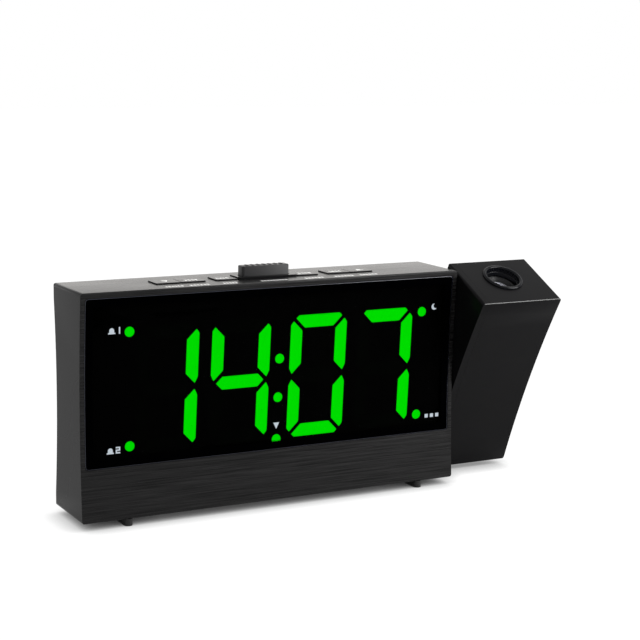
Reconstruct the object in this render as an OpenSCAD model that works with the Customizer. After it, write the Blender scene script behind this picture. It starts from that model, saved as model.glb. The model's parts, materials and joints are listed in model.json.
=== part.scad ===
// Projection alarm clock: a wide desk clock with a projector head on a hollow pivot
// at its right end. Millimetres, +Z up, front face towards -Y. The origin lies on
// the floor under the middle of the whole, in line with the pivot. The head stands
// in its tilted position.

/* [Body] */
// Width of the body across its front
body_w = 152; // [150:1:165]
// Height of the shell without its feet
body_h = 81.5; // [79:0.5:88]
// Depth of the body along its top and bottom
body_d = 28; // [27:0.5:34]
// Radius of the corners seen from the front
body_r = 1.2; // [0.6:0.1:2]
// Radius of the long edges of the shell
edge_r = 0.8; // [0.4:0.1:1.2]
// Wall of the shell
wall = 2; // [1.9:0.1:2.3]
// Radius of the hollow curve of the back
back_r = 305; // [295:5:600]
// Radius of the hollow curve of the front
front_r = 480; // [460:10:900]
// Thickness of the rear cover
cover_t = 2; // [1.8:0.1:2.2]
// Height of the feet
foot_h = 2.6; // [2:0.1:6]
// Width of each foot rail
foot_w = 3.1; // [2.8:0.1:5]
// Length of each foot rail
foot_l = 24; // [18:1:25]
// Distance from the ends of the body to the middles of the foot rails
foot_in = 16.2; // [12:0.1:26]
// How far both foot rails sit to the right
foot_shift = 1.5; // [0:0.1:2]

/* [Window] */
// Border of the frame at each side of the window
frame_side = 1.8; // [1.6:0.1:2.4]
// Border of the frame above the window
frame_top = 2.1; // [1.5:0.1:2.4]
// Height of the chin below the window
chin_h = 19; // [18:0.1:20.5]
// Thickness of the window at its thinnest
win_t = 1.2; // [1:0.1:1.4]
// Corner radius of the window
win_r = 1.2; // [0.6:0.1:2]
// Width of the ledge that the window lies on
ledge_w = 1.6; // [1.4:0.1:1.8]
// Thickness of that ledge
ledge_t = 1.5; // [1.3:0.1:1.6]

/* [Digits] */
// Room between the window's top and the digits
digit_above = 11.4; // [9.5:0.1:12.5]
// Room between the digits and the window's bottom
digit_below = 3.5; // [3.2:0.1:6]
// Room between the window's side and the first digit
digit_side = 18.3; // [17.8:0.1:20]
// Space between the digits of a pair
pair_space = 5.1; // [4.5:0.1:6]
// Space between the digits beside the colon
colon_space = 8.2; // [7.2:0.1:9.6]
// Thickness of a segment
seg_t = 4.75; // [4:0.05:5]
// Gap left at each end of a segment
seg_gap = 1; // [0.8:0.1:1.2]
// Cut across the outer tips of a segment
seg_cut = 1.1; // [0.8:0.1:1.3]
// Slant of the digits
slant = 2.2; // [0:0.2:4]
// Radius of the round dots
dot_r = 1.78; // [1.4:0.02:1.9]
// Distance between the colon's dots
colon_gap = 14.4; // [12:0.2:16]

/* [Display module] */
// Thickness of the frame's flange behind the ledge
flange_t = 1.2; // [1:0.1:1.3]
// Depth of the light wells behind that flange
well_d = 2.9; // [2.7:0.1:3]
// Depth of a segment's filling
fill_t = 2.5; // [2:0.1:2.8]
// Thickness of every circuit board
board_t = 1.6; // [1.4:0.1:1.7]
// Room between the display board and the main board
board_gap = 3.1; // [2.9:0.1:3.2]

/* [Keys] */
// Width of a key of a pair
key_w = 9.5; // [8.5:0.1:9.7]
// Width of a single key
single_w = 8.7; // [8:0.1:8.9]
// Depth of the keys
key_d = 8.2; // [7.4:0.1:8.6]
// Distance from the middle to the inner edge of a pair
pair_x = 24.9; // [24.2:0.1:26]
// How far the keys stand out of the top
key_rise = 0.3; // [0.2:0.1:1.4]
// Travel of a key
key_travel = 0.5; // [0.3:0.1:0.6]
// From the front of the body to the front of the keys
key_front = 9.6; // [9:0.1:10.4]
// Width of the snooze block
snooze_w = 19.1; // [16:0.1:19.4]
// Depth of the snooze block
snooze_d = 4.6; // [4:0.1:6.2]
// Height of the snooze block above the top
snooze_rise = 4.5; // [3.5:0.1:6]
// Travel of the snooze block
snooze_travel = 1; // [0.6:0.1:1]
// Width of the snooze collar
collar_w = 23.7; // [23.4:0.1:24.4]
// Depth of the snooze collar
collar_d = 8.8; // [8.2:0.1:9.8]
// Thickness of the snooze collar above the top
collar_t = 0.45; // [0.4:0.05:1.2]

/* [Speaker and power] */
// Outer radius of the speaker
spk_r = 18; // [16:0.5:18]
// Middle of the speaker left of the body's middle
spk_x = 42; // [40:0.5:44]
// Radius of the round grille
grille_r = 14; // [11:0.5:14]
// Half width of a grille slot
slot_r = 0.8; // [0.5:0.1:1]
// Middle of the power jack right of the body's middle
jack_x = 48; // [46:0.5:50]
// Height of the power jack above the shell's bottom
jack_z = 22; // [21:0.5:26]
// Radius of the jack's bore
jack_r = 3.2; // [2.9:0.05:3.3]
// Radius of the jack's centre pin
jack_pin_r = 1; // [0.8:0.05:1.2]
// Radius of the plug's way through the rear cover
plug_r = 5; // [4.8:0.1:5.4]

/* [Cell] */
// Radius of the coin cell
cell_r = 8; // [6:0.25:8]
// Thickness of the coin cell
cell_t = 3.2; // [1.6:0.2:3.2]
// Middle of the coin cell left of the body's middle
cell_x = 20; // [18:0.5:24]
// Width of the cell door
door_w = 21; // [20:0.5:24]
// Thickness of the cell door
door_t = 1.2; // [1.1:0.05:1.2]

/* [Pivot] */
// Radius of the hollow pivot tube
tube_r = 4; // [3.6:0.1:4.2]
// Radius of the wire way in the pivot tube
wire_r = 2.5; // [2:0.1:2.6]
// Radius of the pivot bush
bush_r = 5.5; // [5.2:0.1:5.8]
// Gap between the body and the head
head_gap = 0.5; // [0.4:0.1:1.5]
// Middle of the pivot in front of the body's middle
pivot_y = 1.8; // [1.5:0.05:2.4]
// Height of the pivot above the shell's bottom
pivot_z = 41.3; // [40.8:0.1:44]

/* [Head] */
// Width of the projector head
head_w = 35.9; // [34:0.1:40]
// Depth of the head
head_d = 27.9; // [27.5:0.1:29]
// Length of the head along the beam
head_h = 79.8; // [79:0.1:81]
// Wall of the head
head_wall = 2; // [1.8:0.1:2.2]
// Thickness of the head's inner side cover
lid_t = 3; // [2.8:0.1:3.4]
// Radius of the head's corners seen from the front
corner_r = 1.1; // [0.6:0.1:2.7]
// Radius of the head's other edges
head_r = 0.4; // [0.3:0.1:1.2]
// Radius of the hollow curve of the head's front
hollow_r = 450; // [305:5:600]
// Forward tilt of the head in this position
tilt = 26.1; // [0:0.1:40]

/* [Optics] */
// Middle of the beam behind the head's middle
beam_y = 1.9; // [1.5:0.1:2.6]
// Outer radius of the focusing ring
ring_r = 8; // [7.9:0.05:8.2]
// Height of the focusing ring above the head
ring_rise = 0.9; // [0.6:0.1:1.4]
// Radius of the lens cell
lens_cell_r = 6.2; // [5.8:0.05:6.3]
// Length of the lens cell
cell_len = 9; // [8:0.5:10]
// Radius of the projection lens
lens_r = 5.5; // [5:0.05:5.6]
// Travel of the lens cell each way
focus_travel = 1.2; // [0.6:0.1:1.2]
// Length of the optics tube
optics_l = 38; // [36:0.5:40]

/* [Hidden] */
$fn = 48;
seat_gap = 0.05;     // between pieces that are fixed in each other
slide_gap = 0.1;     // round keys and sliding pieces
run_gap = 0.08;      // round turning pieces
win_gap = 0.15;      // round the window
tiny = 0.01;
body_at = [-(head_gap + head_w)/2, pivot_y, 0];   // middle of the body in the frame

front_y = -body_d/2;
back_y = body_d/2;
low_z = foot_h;
top_z = foot_h + body_h;
mid_z = foot_h + body_h/2;
in_top = top_z - wall;
in_low = low_z + wall;
curve_y = back_y + sqrt(pow(back_r, 2) - pow(body_h/2, 2));
ahead_y = front_y - sqrt(pow(front_r, 2) - pow(body_h/2, 2));

win_w = body_w - 2*frame_side;
win_h = body_h - chin_h - frame_top;
win_z = low_z + chin_h + win_h/2;
open_w = win_w - 2*ledge_w;
open_h = win_h - 2*ledge_w;
ledge_y = ahead_y + front_r + win_t;
inner_y = ledge_y + ledge_t;
flange_y = inner_y + flange_t;
well_y = flange_y + well_d;
display_y = well_y + board_t;
main_y = display_y + board_gap;
main_back = main_y + board_t;

half_h = (win_h - digit_above - digit_below)/2;
half_w = (win_w/2 - digit_side - pair_space - colon_space/2)/4;
half_span = win_w/2 - digit_side;
digit_z = win_z + (digit_below - digit_above)/2;
inner_x = colon_space/2 + half_w;
digit_x = [half_w - half_span, -inner_x, inner_x, half_span - half_w];
digit_shift = 1.4;   // the display's middle right of the body's middle
lit = ["bc", "bcfg", "abcdef", "abc"];
all_segments = "abcdefg";
// Indicator dots and marks, from the middle of the digits
dot_at = [[-half_span - 2.5, half_h - 1.4], [-half_span - 2.6, 3.15 - half_h],
          [half_span + 5, half_h - 2.1], [half_span + 3.6, 3.45 - half_h],
          [-0.8, -half_h - 0.15]];
mark_at = [[-half_span - 7.9, half_h - 0.6], [-half_span - 8.7, 2.25 - half_h],
           [half_span + 10.5, half_h - 0.5], [half_span + 10.6, 2.4 - half_h],
           [-0.85, 4.9 - half_h]];
mark_t = 0.5;

end_x = body_w/2;
boss_r = -flange_y - pivot_y - 0.3;
boss_t = 3;
washer_t = 0.6;
clip_t = 0.8;
bush_in = end_x - wall - boss_t;
clip_x = bush_in - washer_t - clip_t - 0.05;
tube_in = clip_x - 1.2;

// The block that holds the light wells ends short of the pivot tube
well_x = [wall + 8 - end_x, tube_in - 3.85];
well_top = in_top - 2.5;
well_low = digit_z - half_h - 2.9;
stay_x = [well_x[0] + 4.05, well_x[1] - 3.05];
stay_z = [digit_z - 0.57*half_h, digit_z + 0.4*half_h];
stay_r = 1.9;
ear_x = body_w/2 - 16;
ear_z = low_z + chin_h - 7.2;
hook_x = body_w/2 - 26;

m2_r = 1;            // small screws
m2_head_r = 1.8;
m2_head_h = 1.1;
m3_r = 1.3;          // housing screws
m3_head_r = 2.4;
m3_head_h = 1.1;
m3_len = 9;
post_r = 3;
post_in = 2.5;       // post axis inside the walls
post_y = front_y + 8;
post_at = [for (x = [-1, 1], z = [in_low + post_in, in_top - post_in])
           [x*(body_w/2 - wall - post_in), z]];

key_y = front_y + key_front + key_d/2;
pair_gap = 0.2;
hinge_gap = 0.2;     // between a single key and the collar
single_x = collar_w/2 + hinge_gap + single_w/2;
key_x = [-(pair_x + 1.5*key_w + pair_gap), -(pair_x + key_w/2), -single_x,
         single_x, pair_x + key_w/2, pair_x + 1.5*key_w + pair_gap];
key_foot_t = 1.2;    // flange that keeps a key under the top
key_foot = 1;
switch_w = 6;
switch_h = 3.4;
stem_r = 1.7;
switch_room = 4.1;   // between the switches and the top
key_board_z = in_top - switch_room - switch_h - board_t;
key_board_y = [display_y + 0.4, key_y + 6];
key_post_x = pair_x + 2*key_w + pair_gap + 5;
key_board_w = 2*key_post_x + 6.4;
switch_top = key_board_z + board_t + switch_h;
collar_lip = 0.8;    // wall of the collar inside the top

spk_z = mid_z;
spk_seat = back_at(spk_z, cover_t) - 1.8;
spk_flange = 1.2;
spk_cap = 1;         // rear plate of the magnet
spk_room = spk_seat - main_back - spk_flange - spk_cap - 0.4;
spk_deep = 0.5*spk_room;
magnet_t = 0.5*spk_room;
basket_in = spk_flange + spk_deep - 0.8;   // depth of the hollow in the basket
cone_at = [0.3, 0.85*basket_in];
magnet_r = 9.5;
jack_w = 9;
jack_h = 11;
jack_end = back_at(jack_z + low_z, cover_t) - 0.6;
jack_bore = jack_end - main_back - 1.2;

door_top = low_z + door_t + 0.05;
door_tongue = 0.8;
door_lip = 0.5;
door_y = [front_y + 3.2, back_y - 0.9];
cell_z = door_top + seat_gap;
contact_t = 0.4;
holder_top = cell_z + cell_t + contact_t + 2.4;
holder_r = cell_r + 0.3;
cell_y = (inner_y + back_at(holder_top, cover_t))/2;

pivot_h = low_z + pivot_z;
bush_lip_r = 7.5;
bush_lip_t = head_gap - 0.1;
clip_r = boss_r;
groove = 0.5;
tube_lip_r = 8;
tube_lip_t = 1.5;

head_x = end_x + head_gap + head_w/2;
lid_x = -head_w/2 + lid_t;
half_d = head_d/2;
half_l = head_h/2;
cav_x = [lid_x, head_w/2 - head_wall];
cav_y = half_d - head_wall;
cav_z = half_l - head_wall;
ring_neck = ring_r - 0.6;
ring_lip = ring_r + 0.3;
ring_deep = 6;
ring_step = 1.5;
cell_depth = ring_step + focus_travel + 0.5;
lens_z = half_l - cell_depth - 2.2;
lens_t = 2;
lens_bulge = 0.8;
lens_curve = (pow(lens_r, 2) + pow(lens_bulge, 2))/(2*lens_bulge);
optics_top = half_l - ring_deep - focus_travel;
optics_low = optics_top - optics_l;
optics_r = lens_cell_r + 2;
optics_flange = 2;
slide_z = optics_top - 0.6*optics_l;
slide_size = [2*optics_r + 0.6, 2*optics_r - 2.4, 1.2];
shelf_t = 4;
shelf_x = cav_x[1] - 4.5;
lamp_r = 2.4;

shell_c = [0.16, 0.16, 0.165];
head_c = [0.1, 0.1, 0.105];
lit_c = [0, 0.81, 0];
board_c = [0.05, 0.3, 0.16];
steel_c = [0.7, 0.7, 0.72];

// Depth of the hollow back at a height, moved inwards by a wall
function back_at(z, inward) = curve_y - sqrt(pow(back_r + inward, 2) - pow(z - mid_z, 2));

// Radius of the speaker basket's hollow at a depth
function basket_r(z) = spk_r - 3 - (spk_r - 8)*z/basket_in;

// Rectangle with round corners about the origin
module rounded(w, h, r) {
  square([w - 2*r, h], center = true);
  square([w, h - 2*r], center = true);
  for (x = [-1, 1], y = [-1, 1]) translate([x*(w/2 - r), y*(h/2 - r)]) circle(r);
}

// Slot with round ends
module slot(l, r) {
  square([l - 2*r, 2*r], center = true);
  for (x = [-1, 1]) translate([x*(l/2 - r), 0]) circle(r);
}

// Solid of an outline in X and Z between two depths
module along_y(y0, y1, z = 0, x = 0)
  translate([x, y1, z]) rotate([90, 0, 0]) linear_extrude(y1 - y0) children();

// Solid of an outline in Y and Z between two sides
module along_x(x0, x1, y = 0, z = 0)
  translate([x0, y, z]) rotate([90, 0, 90]) linear_extrude(x1 - x0) children();

// Box between two corners
module box(a, b) translate(a) cube(b - a);

// Round bar along Y or along X
module bar_y(r, y0, y1, x, z) translate([x, y0, z]) rotate([-90, 0, 0]) cylinder(r = r, h = y1 - y0);
module bar_x(r, x0, x1, y, z) translate([x0, y, z]) rotate([0, 90, 0]) cylinder(r = r, h = x1 - x0);

// Everything behind the hollow back, moved inwards by a wall
module behind(inward)
  translate([-body_w, curve_y, mid_z]) rotate([0, 90, 0])
    cylinder(r = back_r + inward, h = 2*body_w, $fn = 480);

// Everything before the hollow front
module before()
  translate([-body_w, ahead_y, mid_z]) rotate([0, 90, 0])
    cylinder(r = front_r, h = 2*body_w, $fn = 480);

// Screw with its head's seat at the origin and its shank down -Z
module screw(r, len, head_r, head_h) difference() {
  union() {
    translate([0, 0, -len]) cylinder(r = r, h = len + tiny);
    cylinder(r = head_r, h = head_h);
  }
  for (a = [0, 90]) rotate(a)
    translate([-head_r*0.6, -0.25, head_h*0.4]) cube([head_r*1.2, 0.5, head_h]);
}
module small_screw(len = 5) screw(m2_r, len, m2_head_r, m2_head_h);

// Places of what is drawn about the middle of the body, and about the middle of the head
module body_place() translate(body_at) children();
module head_place() translate([head_x, -pivot_y, pivot_h] + body_at) rotate([tilt, 0, 0]) children();
module beam(z = 0) translate([0, beam_y, z]) children();

// ---- digits -------------------------------------------------------------

// Outer right segment and top segment of a digit, as mitred bars
side_bar = [[half_w - seg_cut, half_h - seg_gap - seg_cut],
            [half_w, half_h - seg_gap - 2.3*seg_cut],
            [half_w, seg_t/2 + 2.3*seg_gap - seg_t + 3*seg_cut],
            [half_w - seg_cut, 2.3*seg_gap - seg_t/2 + seg_cut],
            [half_w - seg_t, seg_t/2 + 2.3*seg_gap],
            [half_w - seg_t, half_h - seg_t - seg_gap]];
top_tip = half_w - seg_gap - seg_cut;
top_bar = [[-top_tip, half_h - seg_cut], [seg_cut - top_tip, half_h],
           [top_tip - seg_cut, half_h], [top_tip, half_h - seg_cut],
           [half_w - seg_t - seg_gap, half_h - seg_t],
           [seg_t + seg_gap - half_w, half_h - seg_t]];
mid_tip = half_w - 2.2*seg_gap;
mid_bar = [[-mid_tip, 0], [seg_t/2 - mid_tip, seg_t/2], [mid_tip - seg_t/2, seg_t/2],
           [mid_tip, 0], [mid_tip - seg_t/2, -seg_t/2], [seg_t/2 - mid_tip, -seg_t/2]];

function slanted(points, sx, sz) =
  [for (p = points) [sx*p[0] + sz*p[1]*tan(slant), sz*p[1]]];
function bar_points(s) =
  s == "a" ? slanted(top_bar, 1, 1) : s == "d" ? slanted(top_bar, 1, -1) :
  s == "b" ? slanted(side_bar, 1, 1) : s == "c" ? slanted(side_bar, 1, -1) :
  s == "f" ? slanted(side_bar, -1, 1) : s == "e" ? slanted(side_bar, -1, -1) :
  slanted(mid_bar, 1, 1);

module segments(place, names)
  for (s = names) translate([digit_x[place], 0]) polygon(bar_points(s));

module digit(place)
  color(lit_c) body_place() along_y(ledge_y, ledge_y + fill_t, digit_z, digit_shift)
    segments(place, lit[place]);

function unlit(place) = [for (s = all_segments) if (len(search(s, lit[place])) == 0) s];

function slant_at(z) = z*tan(slant);
colon_at = [for (z = [-colon_gap/2, colon_gap/2]) [slant_at(z), z]];

module dots(r) for (p = concat(dot_at, colon_at)) translate(p) circle(r);

// Small marks beside the dots: bell and numeral, moon, squares, triangle
mark_h = 2.4;
stroke = 0.5;
module bell() {
  intersection() { circle(mark_h*0.38); translate([-mark_h, 0]) square(2*mark_h); }
  translate([-mark_h*0.38, -mark_h*0.3]) square([mark_h*0.76, mark_h*0.3 + tiny]);
  translate([-mark_h*0.55, -mark_h*0.5]) square([mark_h*1.1, mark_h*0.2 + tiny]);
}
module one() translate([-stroke/2, -mark_h/2]) square([stroke, mark_h]);
module two() {
  for (z = [-1, 0, 1]) translate([0, z*(mark_h - stroke)/2])
    square([0.7*mark_h, stroke], center = true);
  for (d = [1, -1]) translate([d*(0.35*mark_h - stroke/2), d*mark_h/4])
    square([stroke, mark_h/2], center = true);
}
module moon() difference() {
  circle(mark_h/2);
  translate([mark_h*0.3, mark_h*0.15]) circle(mark_h*0.42);
}
module marks() {
  for (i = [0, 1]) translate(mark_at[i] - [mark_h/2, 0]) bell();
  translate(mark_at[0] + [mark_h*0.7, 0]) one();
  translate(mark_at[1] + [mark_h*0.7, 0]) two();
  translate(mark_at[2]) moon();
  for (i = [-1, 0, 1]) translate(mark_at[3] + [i*mark_h, 0])
    square(mark_h*0.6, center = true);
  translate(mark_at[4]) polygon([[-mark_h/2, mark_h/2], [mark_h/2, mark_h/2],
                                 [0, -mark_h/2]]);
}

module digit_hour_tens() digit(0);
module digit_hour_units() digit(1);
module digit_minute_tens() digit(2);
module digit_minute_units() digit(3);

module segments_unlit() color([0.03, 0.035, 0.03]) body_place()
  along_y(ledge_y, ledge_y + fill_t, digit_z, digit_shift)
    for (i = [0:3]) segments(i, unlit(i));

module dots_lit() color(lit_c) body_place()
  along_y(ledge_y, ledge_y + fill_t, digit_z, digit_shift) dots(dot_r);

module marks_lit() color([0.78, 0.86, 0.95]) body_place()
  along_y(ledge_y, ledge_y + mark_t, digit_z, digit_shift) marks();

// ---- housing ------------------------------------------------------------

module shell_block() intersection() {
  along_y(front_y, back_y, mid_z) rounded(body_w, body_h, body_r);
  along_x(-body_w/2, body_w/2, 0, mid_z) rounded(body_d, body_h, edge_r);
  translate([0, -edge_r, low_z]) linear_extrude(body_h)
    rounded(body_w, body_d + 2*edge_r, edge_r);
}

// Outline of a key opening in the top
module key_holes(grow) {
  for (s = [-1, 1]) {
    translate([s*(pair_x + key_w + pair_gap/2), key_y])
      square([2*key_w + pair_gap + 2*grow, key_d + 2*grow], center = true);
    translate([s*single_x, key_y])
      square([single_w + 2*grow, key_d + 2*grow], center = true);
  }
}

// Way of the cell door: a plain strip below, a wider strip for its tongues above
module door_way(grow, y0, y1, top) {
  w = door_w/2 + grow;
  box([-cell_x - w, y0, low_z - (grow > 0 ? 1 : 0)], [-cell_x + w, y1, top]);
  box([-cell_x - w - door_tongue, y0, low_z + door_lip + (grow > 0 ? 0 : slide_gap)],
      [-cell_x + w + door_tongue, y1, top]);
}

module front_housing() color(shell_c) body_place() difference() {
  union() {
    difference() {
      shell_block();
      along_y(inner_y, back_y + 1, mid_z) rounded(body_w - 2*wall, body_h - 2*wall, 0.6);
      along_y(front_y - 1, ledge_y, win_z) rounded(win_w + 2*win_gap, win_h + 2*win_gap, win_r);
      along_y(front_y - 1, inner_y + 1, win_z) rounded(open_w, open_h, win_r);
      before();
      behind(0);
    }
    // screw posts in the corners
    difference() {
      for (p = post_at) bar_y(post_r, post_y, back_y, p[0], p[1]);
      behind(cover_t);
      difference() {
        box([-body_w, -body_d, 0], [body_w, body_d, top_z + 5]);
        box([-body_w/2 + 0.5, -body_d, low_z + 0.5], [body_w/2 - 0.5, body_d, top_z - 0.5]);
      }
    }
    // hooks that hold the display frame's upper edge
    for (x = [-hook_x, hook_x]) box([x - 4, flange_y, in_top - 2.2], [x + 4, flange_y + 2, in_top + tiny]);
    // posts of the key board
    for (x = [-1, 1]) translate([x*key_post_x, key_y, key_board_z + board_t])
      cylinder(r = 2.4, h = in_top - key_board_z - board_t + tiny);
    // boss of the pivot
    bar_x(boss_r, bush_in, end_x - wall + tiny, -pivot_y, pivot_h);
  }
  for (p = post_at) bar_y(m3_r + seat_gap, post_y + 2, back_y, p[0], p[1]);
  translate([0, 0, in_top - 1]) linear_extrude(wall + 2) {
    key_holes(slide_gap);
    translate([0, key_y]) square([snooze_w + 2*(slide_gap + collar_lip),
                                     snooze_d + 2*(slide_gap + collar_lip)], center = true);
  }
  for (x = [-1, 1]) translate([x*key_post_x, key_y, key_board_z])
    cylinder(r = m2_r + seat_gap, h = in_top - key_board_z - 1);
  for (x = [-1, 1]) bar_y(m2_r + seat_gap, inner_y - 2, inner_y + 1, x*ear_x, ear_z);
  bar_x(bush_r + seat_gap, bush_in - 1, end_x + 1, -pivot_y, pivot_h);
  door_way(slide_gap, door_y[0] - slide_gap, back_y + 1, door_top);
  translate([-cell_x, cell_y, low_z]) cylinder(r = holder_r, h = wall + 1);
  for (x = foot_x, y = foot_pegs) translate([x, y, low_z - 1])
    cylinder(r = peg_r + seat_gap, h = 1 + peg_h);
}

foot_x = [for (s = [-1, 1]) foot_shift + s*(body_w/2 - foot_in)];
peg_r = 1;
peg_h = 1.4;
foot_pegs = [front_y + 5, front_y + foot_l - 4];

module foot(x) color([0.09, 0.09, 0.09]) body_place() {
  translate([x, front_y + foot_w/2 + 0.2, 0]) cylinder(r = foot_w/2, h = foot_h);
  box([x - foot_w/2, front_y + foot_w/2 + 0.2, 0], [x + foot_w/2, front_y + foot_l, foot_h]);
  for (y = foot_pegs) translate([x, y, foot_h - tiny]) cylinder(r = peg_r, h = peg_h);
}
module foot_left() foot(foot_x[0]);
module foot_right() foot(foot_x[1]);

module rear_cover() color(shell_c) body_place() difference() {
  union() {
    intersection() {
      along_y(-1, back_y, mid_z)
        rounded(body_w - 2*wall - 2*seat_gap, body_h - 2*wall - 2*seat_gap, 0.6);
      behind(cover_t);
    }
    bar_y(spk_r, spk_seat, back_y, -spk_x, spk_z);
  }
  behind(0);
  bar_y(spk_r - 3, spk_seat - 1, back_at(spk_z, cover_t) + 0.2, -spk_x, spk_z);
  along_y(0, back_y + 1, spk_z, -spk_x)
    for (i = [-3:3]) translate([0, i*grille_r*0.27])
      slot(2*sqrt(pow(grille_r, 2) - pow(i*grille_r*0.27, 2)), slot_r);
  bar_y(plug_r, 0, back_y + 1, jack_x, low_z + jack_z);
  for (p = post_at) {
    bar_y(m3_r + seat_gap, 0, back_y + 1, p[0], p[1]);
    bar_y(m3_head_r + seat_gap, back_at(p[1], 0) - m3_head_h - 0.1, back_y + 1, p[0], p[1]);
  }
}

module housing_screws() color(steel_c) body_place()
  for (p = post_at) translate([p[0], back_at(p[1], 0) - m3_head_h - 0.1, p[1]])
    rotate([-90, 0, 0]) screw(m3_r, m3_len, m3_head_r, m3_head_h);

// Outline of the window from its side, with its front on the hollow curve
window_ends = [win_z - win_h/2, win_z + win_h/2];
window_side = concat([for (i = [0:20]) let (z = window_ends[0] + i*win_h/20)
                      [ahead_y + sqrt(pow(front_r, 2) - pow(z - mid_z, 2)), z]],
                     [[ledge_y, window_ends[1]], [ledge_y, window_ends[0]]]);
module display_window() color([0.01, 0.01, 0.015]) body_place() intersection() {
  along_y(front_y, ledge_y, win_z) rounded(win_w, win_h, win_r);
  along_x(-body_w/2, body_w/2) polygon(window_side);
}

// ---- display module -----------------------------------------------------

module display_frame() color([0.02, 0.02, 0.02]) body_place() difference() {
  union() {
    along_y(ledge_y, inner_y, win_z) rounded(open_w - 2*seat_gap, open_h - 2*seat_gap, win_r);
    along_y(inner_y, flange_y, win_z) rounded(open_w + ledge_w, open_h + ledge_w, win_r);
    for (x = [-1, 1]) box([x*ear_x - 4, inner_y, ear_z - 3], [x*ear_x + 4, flange_y, win_z]);
    box([well_x[0], flange_y - tiny, well_low], [well_x[1], well_y, well_top]);
    for (x = stay_x, z = stay_z) bar_y(stay_r, well_y - tiny, main_y, x, z);
  }
  along_y(ledge_y - 1, well_y + 1, digit_z, digit_shift) {
    for (i = [0:3]) segments(i, all_segments);
    dots(dot_r + seat_gap);
  }
  along_y(ledge_y - 1, ledge_y + mark_t, digit_z, digit_shift) marks();
  for (x = [-1, 1]) bar_y(m2_r + seat_gap, inner_y - 1, flange_y + 1, x*ear_x, ear_z);
  for (x = stay_x, z = stay_z) bar_y(m2_r + seat_gap, main_y - 5, main_y + 1, x, z);
}

module display_board() color(board_c) body_place() difference() {
  box([well_x[0], well_y, well_low + 0.5], [well_x[1], display_y, well_top]);
  for (x = stay_x, z = stay_z) bar_y(stay_r + seat_gap, well_y - 1, display_y + 1, x, z);
}

// One chip at the middle of each segment and each dot
chip = [1.6, 0.8, 1.2];
function centre(points) = [for (k = [0, 1])
  (max([for (p = points) p[k]]) + min([for (p = points) p[k]]))/2];
module chip_at(p) box([digit_shift + p[0] - chip[0]/2, well_y - chip[1], digit_z + p[1] - chip[2]/2],
                      [digit_shift + p[0] + chip[0]/2, well_y, digit_z + p[1] + chip[2]/2]);
module display_chips() color([0.85, 0.83, 0.7]) body_place() {
  for (i = [0:3], s = all_segments) chip_at([digit_x[i], 0] + centre(bar_points(s)));
  for (p = concat(dot_at, colon_at)) chip_at(p);
}

main_size = [[well_x[0] - 2, low_z + 13], [well_x[1] - 0.1, key_board_z - 2.4]];
main_w = main_size[1][0] - main_size[0][0];
main_mid = [for (k = [0, 1]) (main_size[0][k] + main_size[1][k])/2];
module main_board() color(board_c) body_place() difference() {
  box([main_size[0][0], main_y, main_size[0][1]], [main_size[1][0], main_back, main_size[1][1]]);
  for (x = stay_x, z = stay_z) bar_y(m2_r + seat_gap, main_y - 1, main_back + 1, x, z);
}

module board_chips() color([0.08, 0.08, 0.08]) body_place() {
  for (c = [[0.03, 0.01, 0.045], [0.15, -0.09, 0.03]])
    translate([main_mid[0] + c[0]*main_w, main_back + 0.6, main_mid[1] + c[1]*main_w])
      cube([2*c[2]*main_w, 1.2, 2*c[2]*main_w], center = true);
}

cap_r = main_w/41;
cap_z = main_mid[1] + 0.07*main_w;
cap_h = 0.73*(back_at(cap_z, cover_t) - main_back);
module capacitors() color([0.12, 0.13, 0.3]) body_place()
  for (x = [0.15, 0.22]*main_w) bar_y(cap_r, main_back, main_back + cap_h, main_mid[0] + x, cap_z);

module board_header() color([0.1, 0.1, 0.1]) body_place()
  box([-main_w/12, display_y, mid_z - 9], [main_w/12, main_y, mid_z - 6.4]);

// ---- keys ---------------------------------------------------------------

module key_board() color(board_c) body_place() difference() {
  box([-key_board_w/2, key_board_y[0], key_board_z],
      [key_board_w/2, key_board_y[1], key_board_z + board_t]);
  for (x = [-1, 1]) translate([x*key_post_x, key_y, key_board_z - 1])
    cylinder(r = m2_r + seat_gap, h = board_t + 2);
}

stem_in = 1.2;       // length of a stem inside its switch
module switch_at(x, y, travel) translate([x, y, key_board_z + board_t]) difference() {
  translate([-switch_w/2, -switch_w/2, 0]) cube([switch_w, switch_w, switch_h]);
  translate([0, 0, switch_h - stem_in - travel - 0.2])
    cylinder(r = stem_r + slide_gap, h = switch_h);
}
module key_switches() color([0.2, 0.2, 0.2]) body_place() {
  for (x = key_x) switch_at(x, key_y, key_travel);
  switch_at(0, key_y, snooze_travel);
}

// Key or block with its flange below the top and its stem in the switch
module pressed(x, y, w, d, rise, foot_x) {
  translate([x, y, in_top - tiny]) linear_extrude(wall + rise + tiny)
    rounded(w, d, 0.5);
  translate([x, y, in_top - key_foot_t/2])
    cube([w + 2*foot_x, d + 2*key_foot, key_foot_t], center = true);
  translate([x, y, switch_top - stem_in])
    cylinder(r = stem_r, h = in_top - key_foot_t/2 - switch_top + stem_in);
}
module key(i) color([0.2, 0.2, 0.205]) body_place()
  pressed(key_x[i], key_y, i == 2 || i == 3 ? single_w : key_w, key_d, key_rise, 0);
module key_1() key(0);
module key_2() key(1);
module key_3() key(2);
module key_4() key(3);
module key_5() key(4);
module key_6() key(5);

module snooze_button() color([0.15, 0.15, 0.155]) body_place() {
  pressed(0, key_y, snooze_w, snooze_d, snooze_rise, key_foot);
  for (i = [-3:3]) translate([i*snooze_w/9, key_y, top_z + snooze_rise - tiny])
    translate([-0.5, -snooze_d*0.3, 0]) cube([1, snooze_d*0.6, 0.35]);
}

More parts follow.
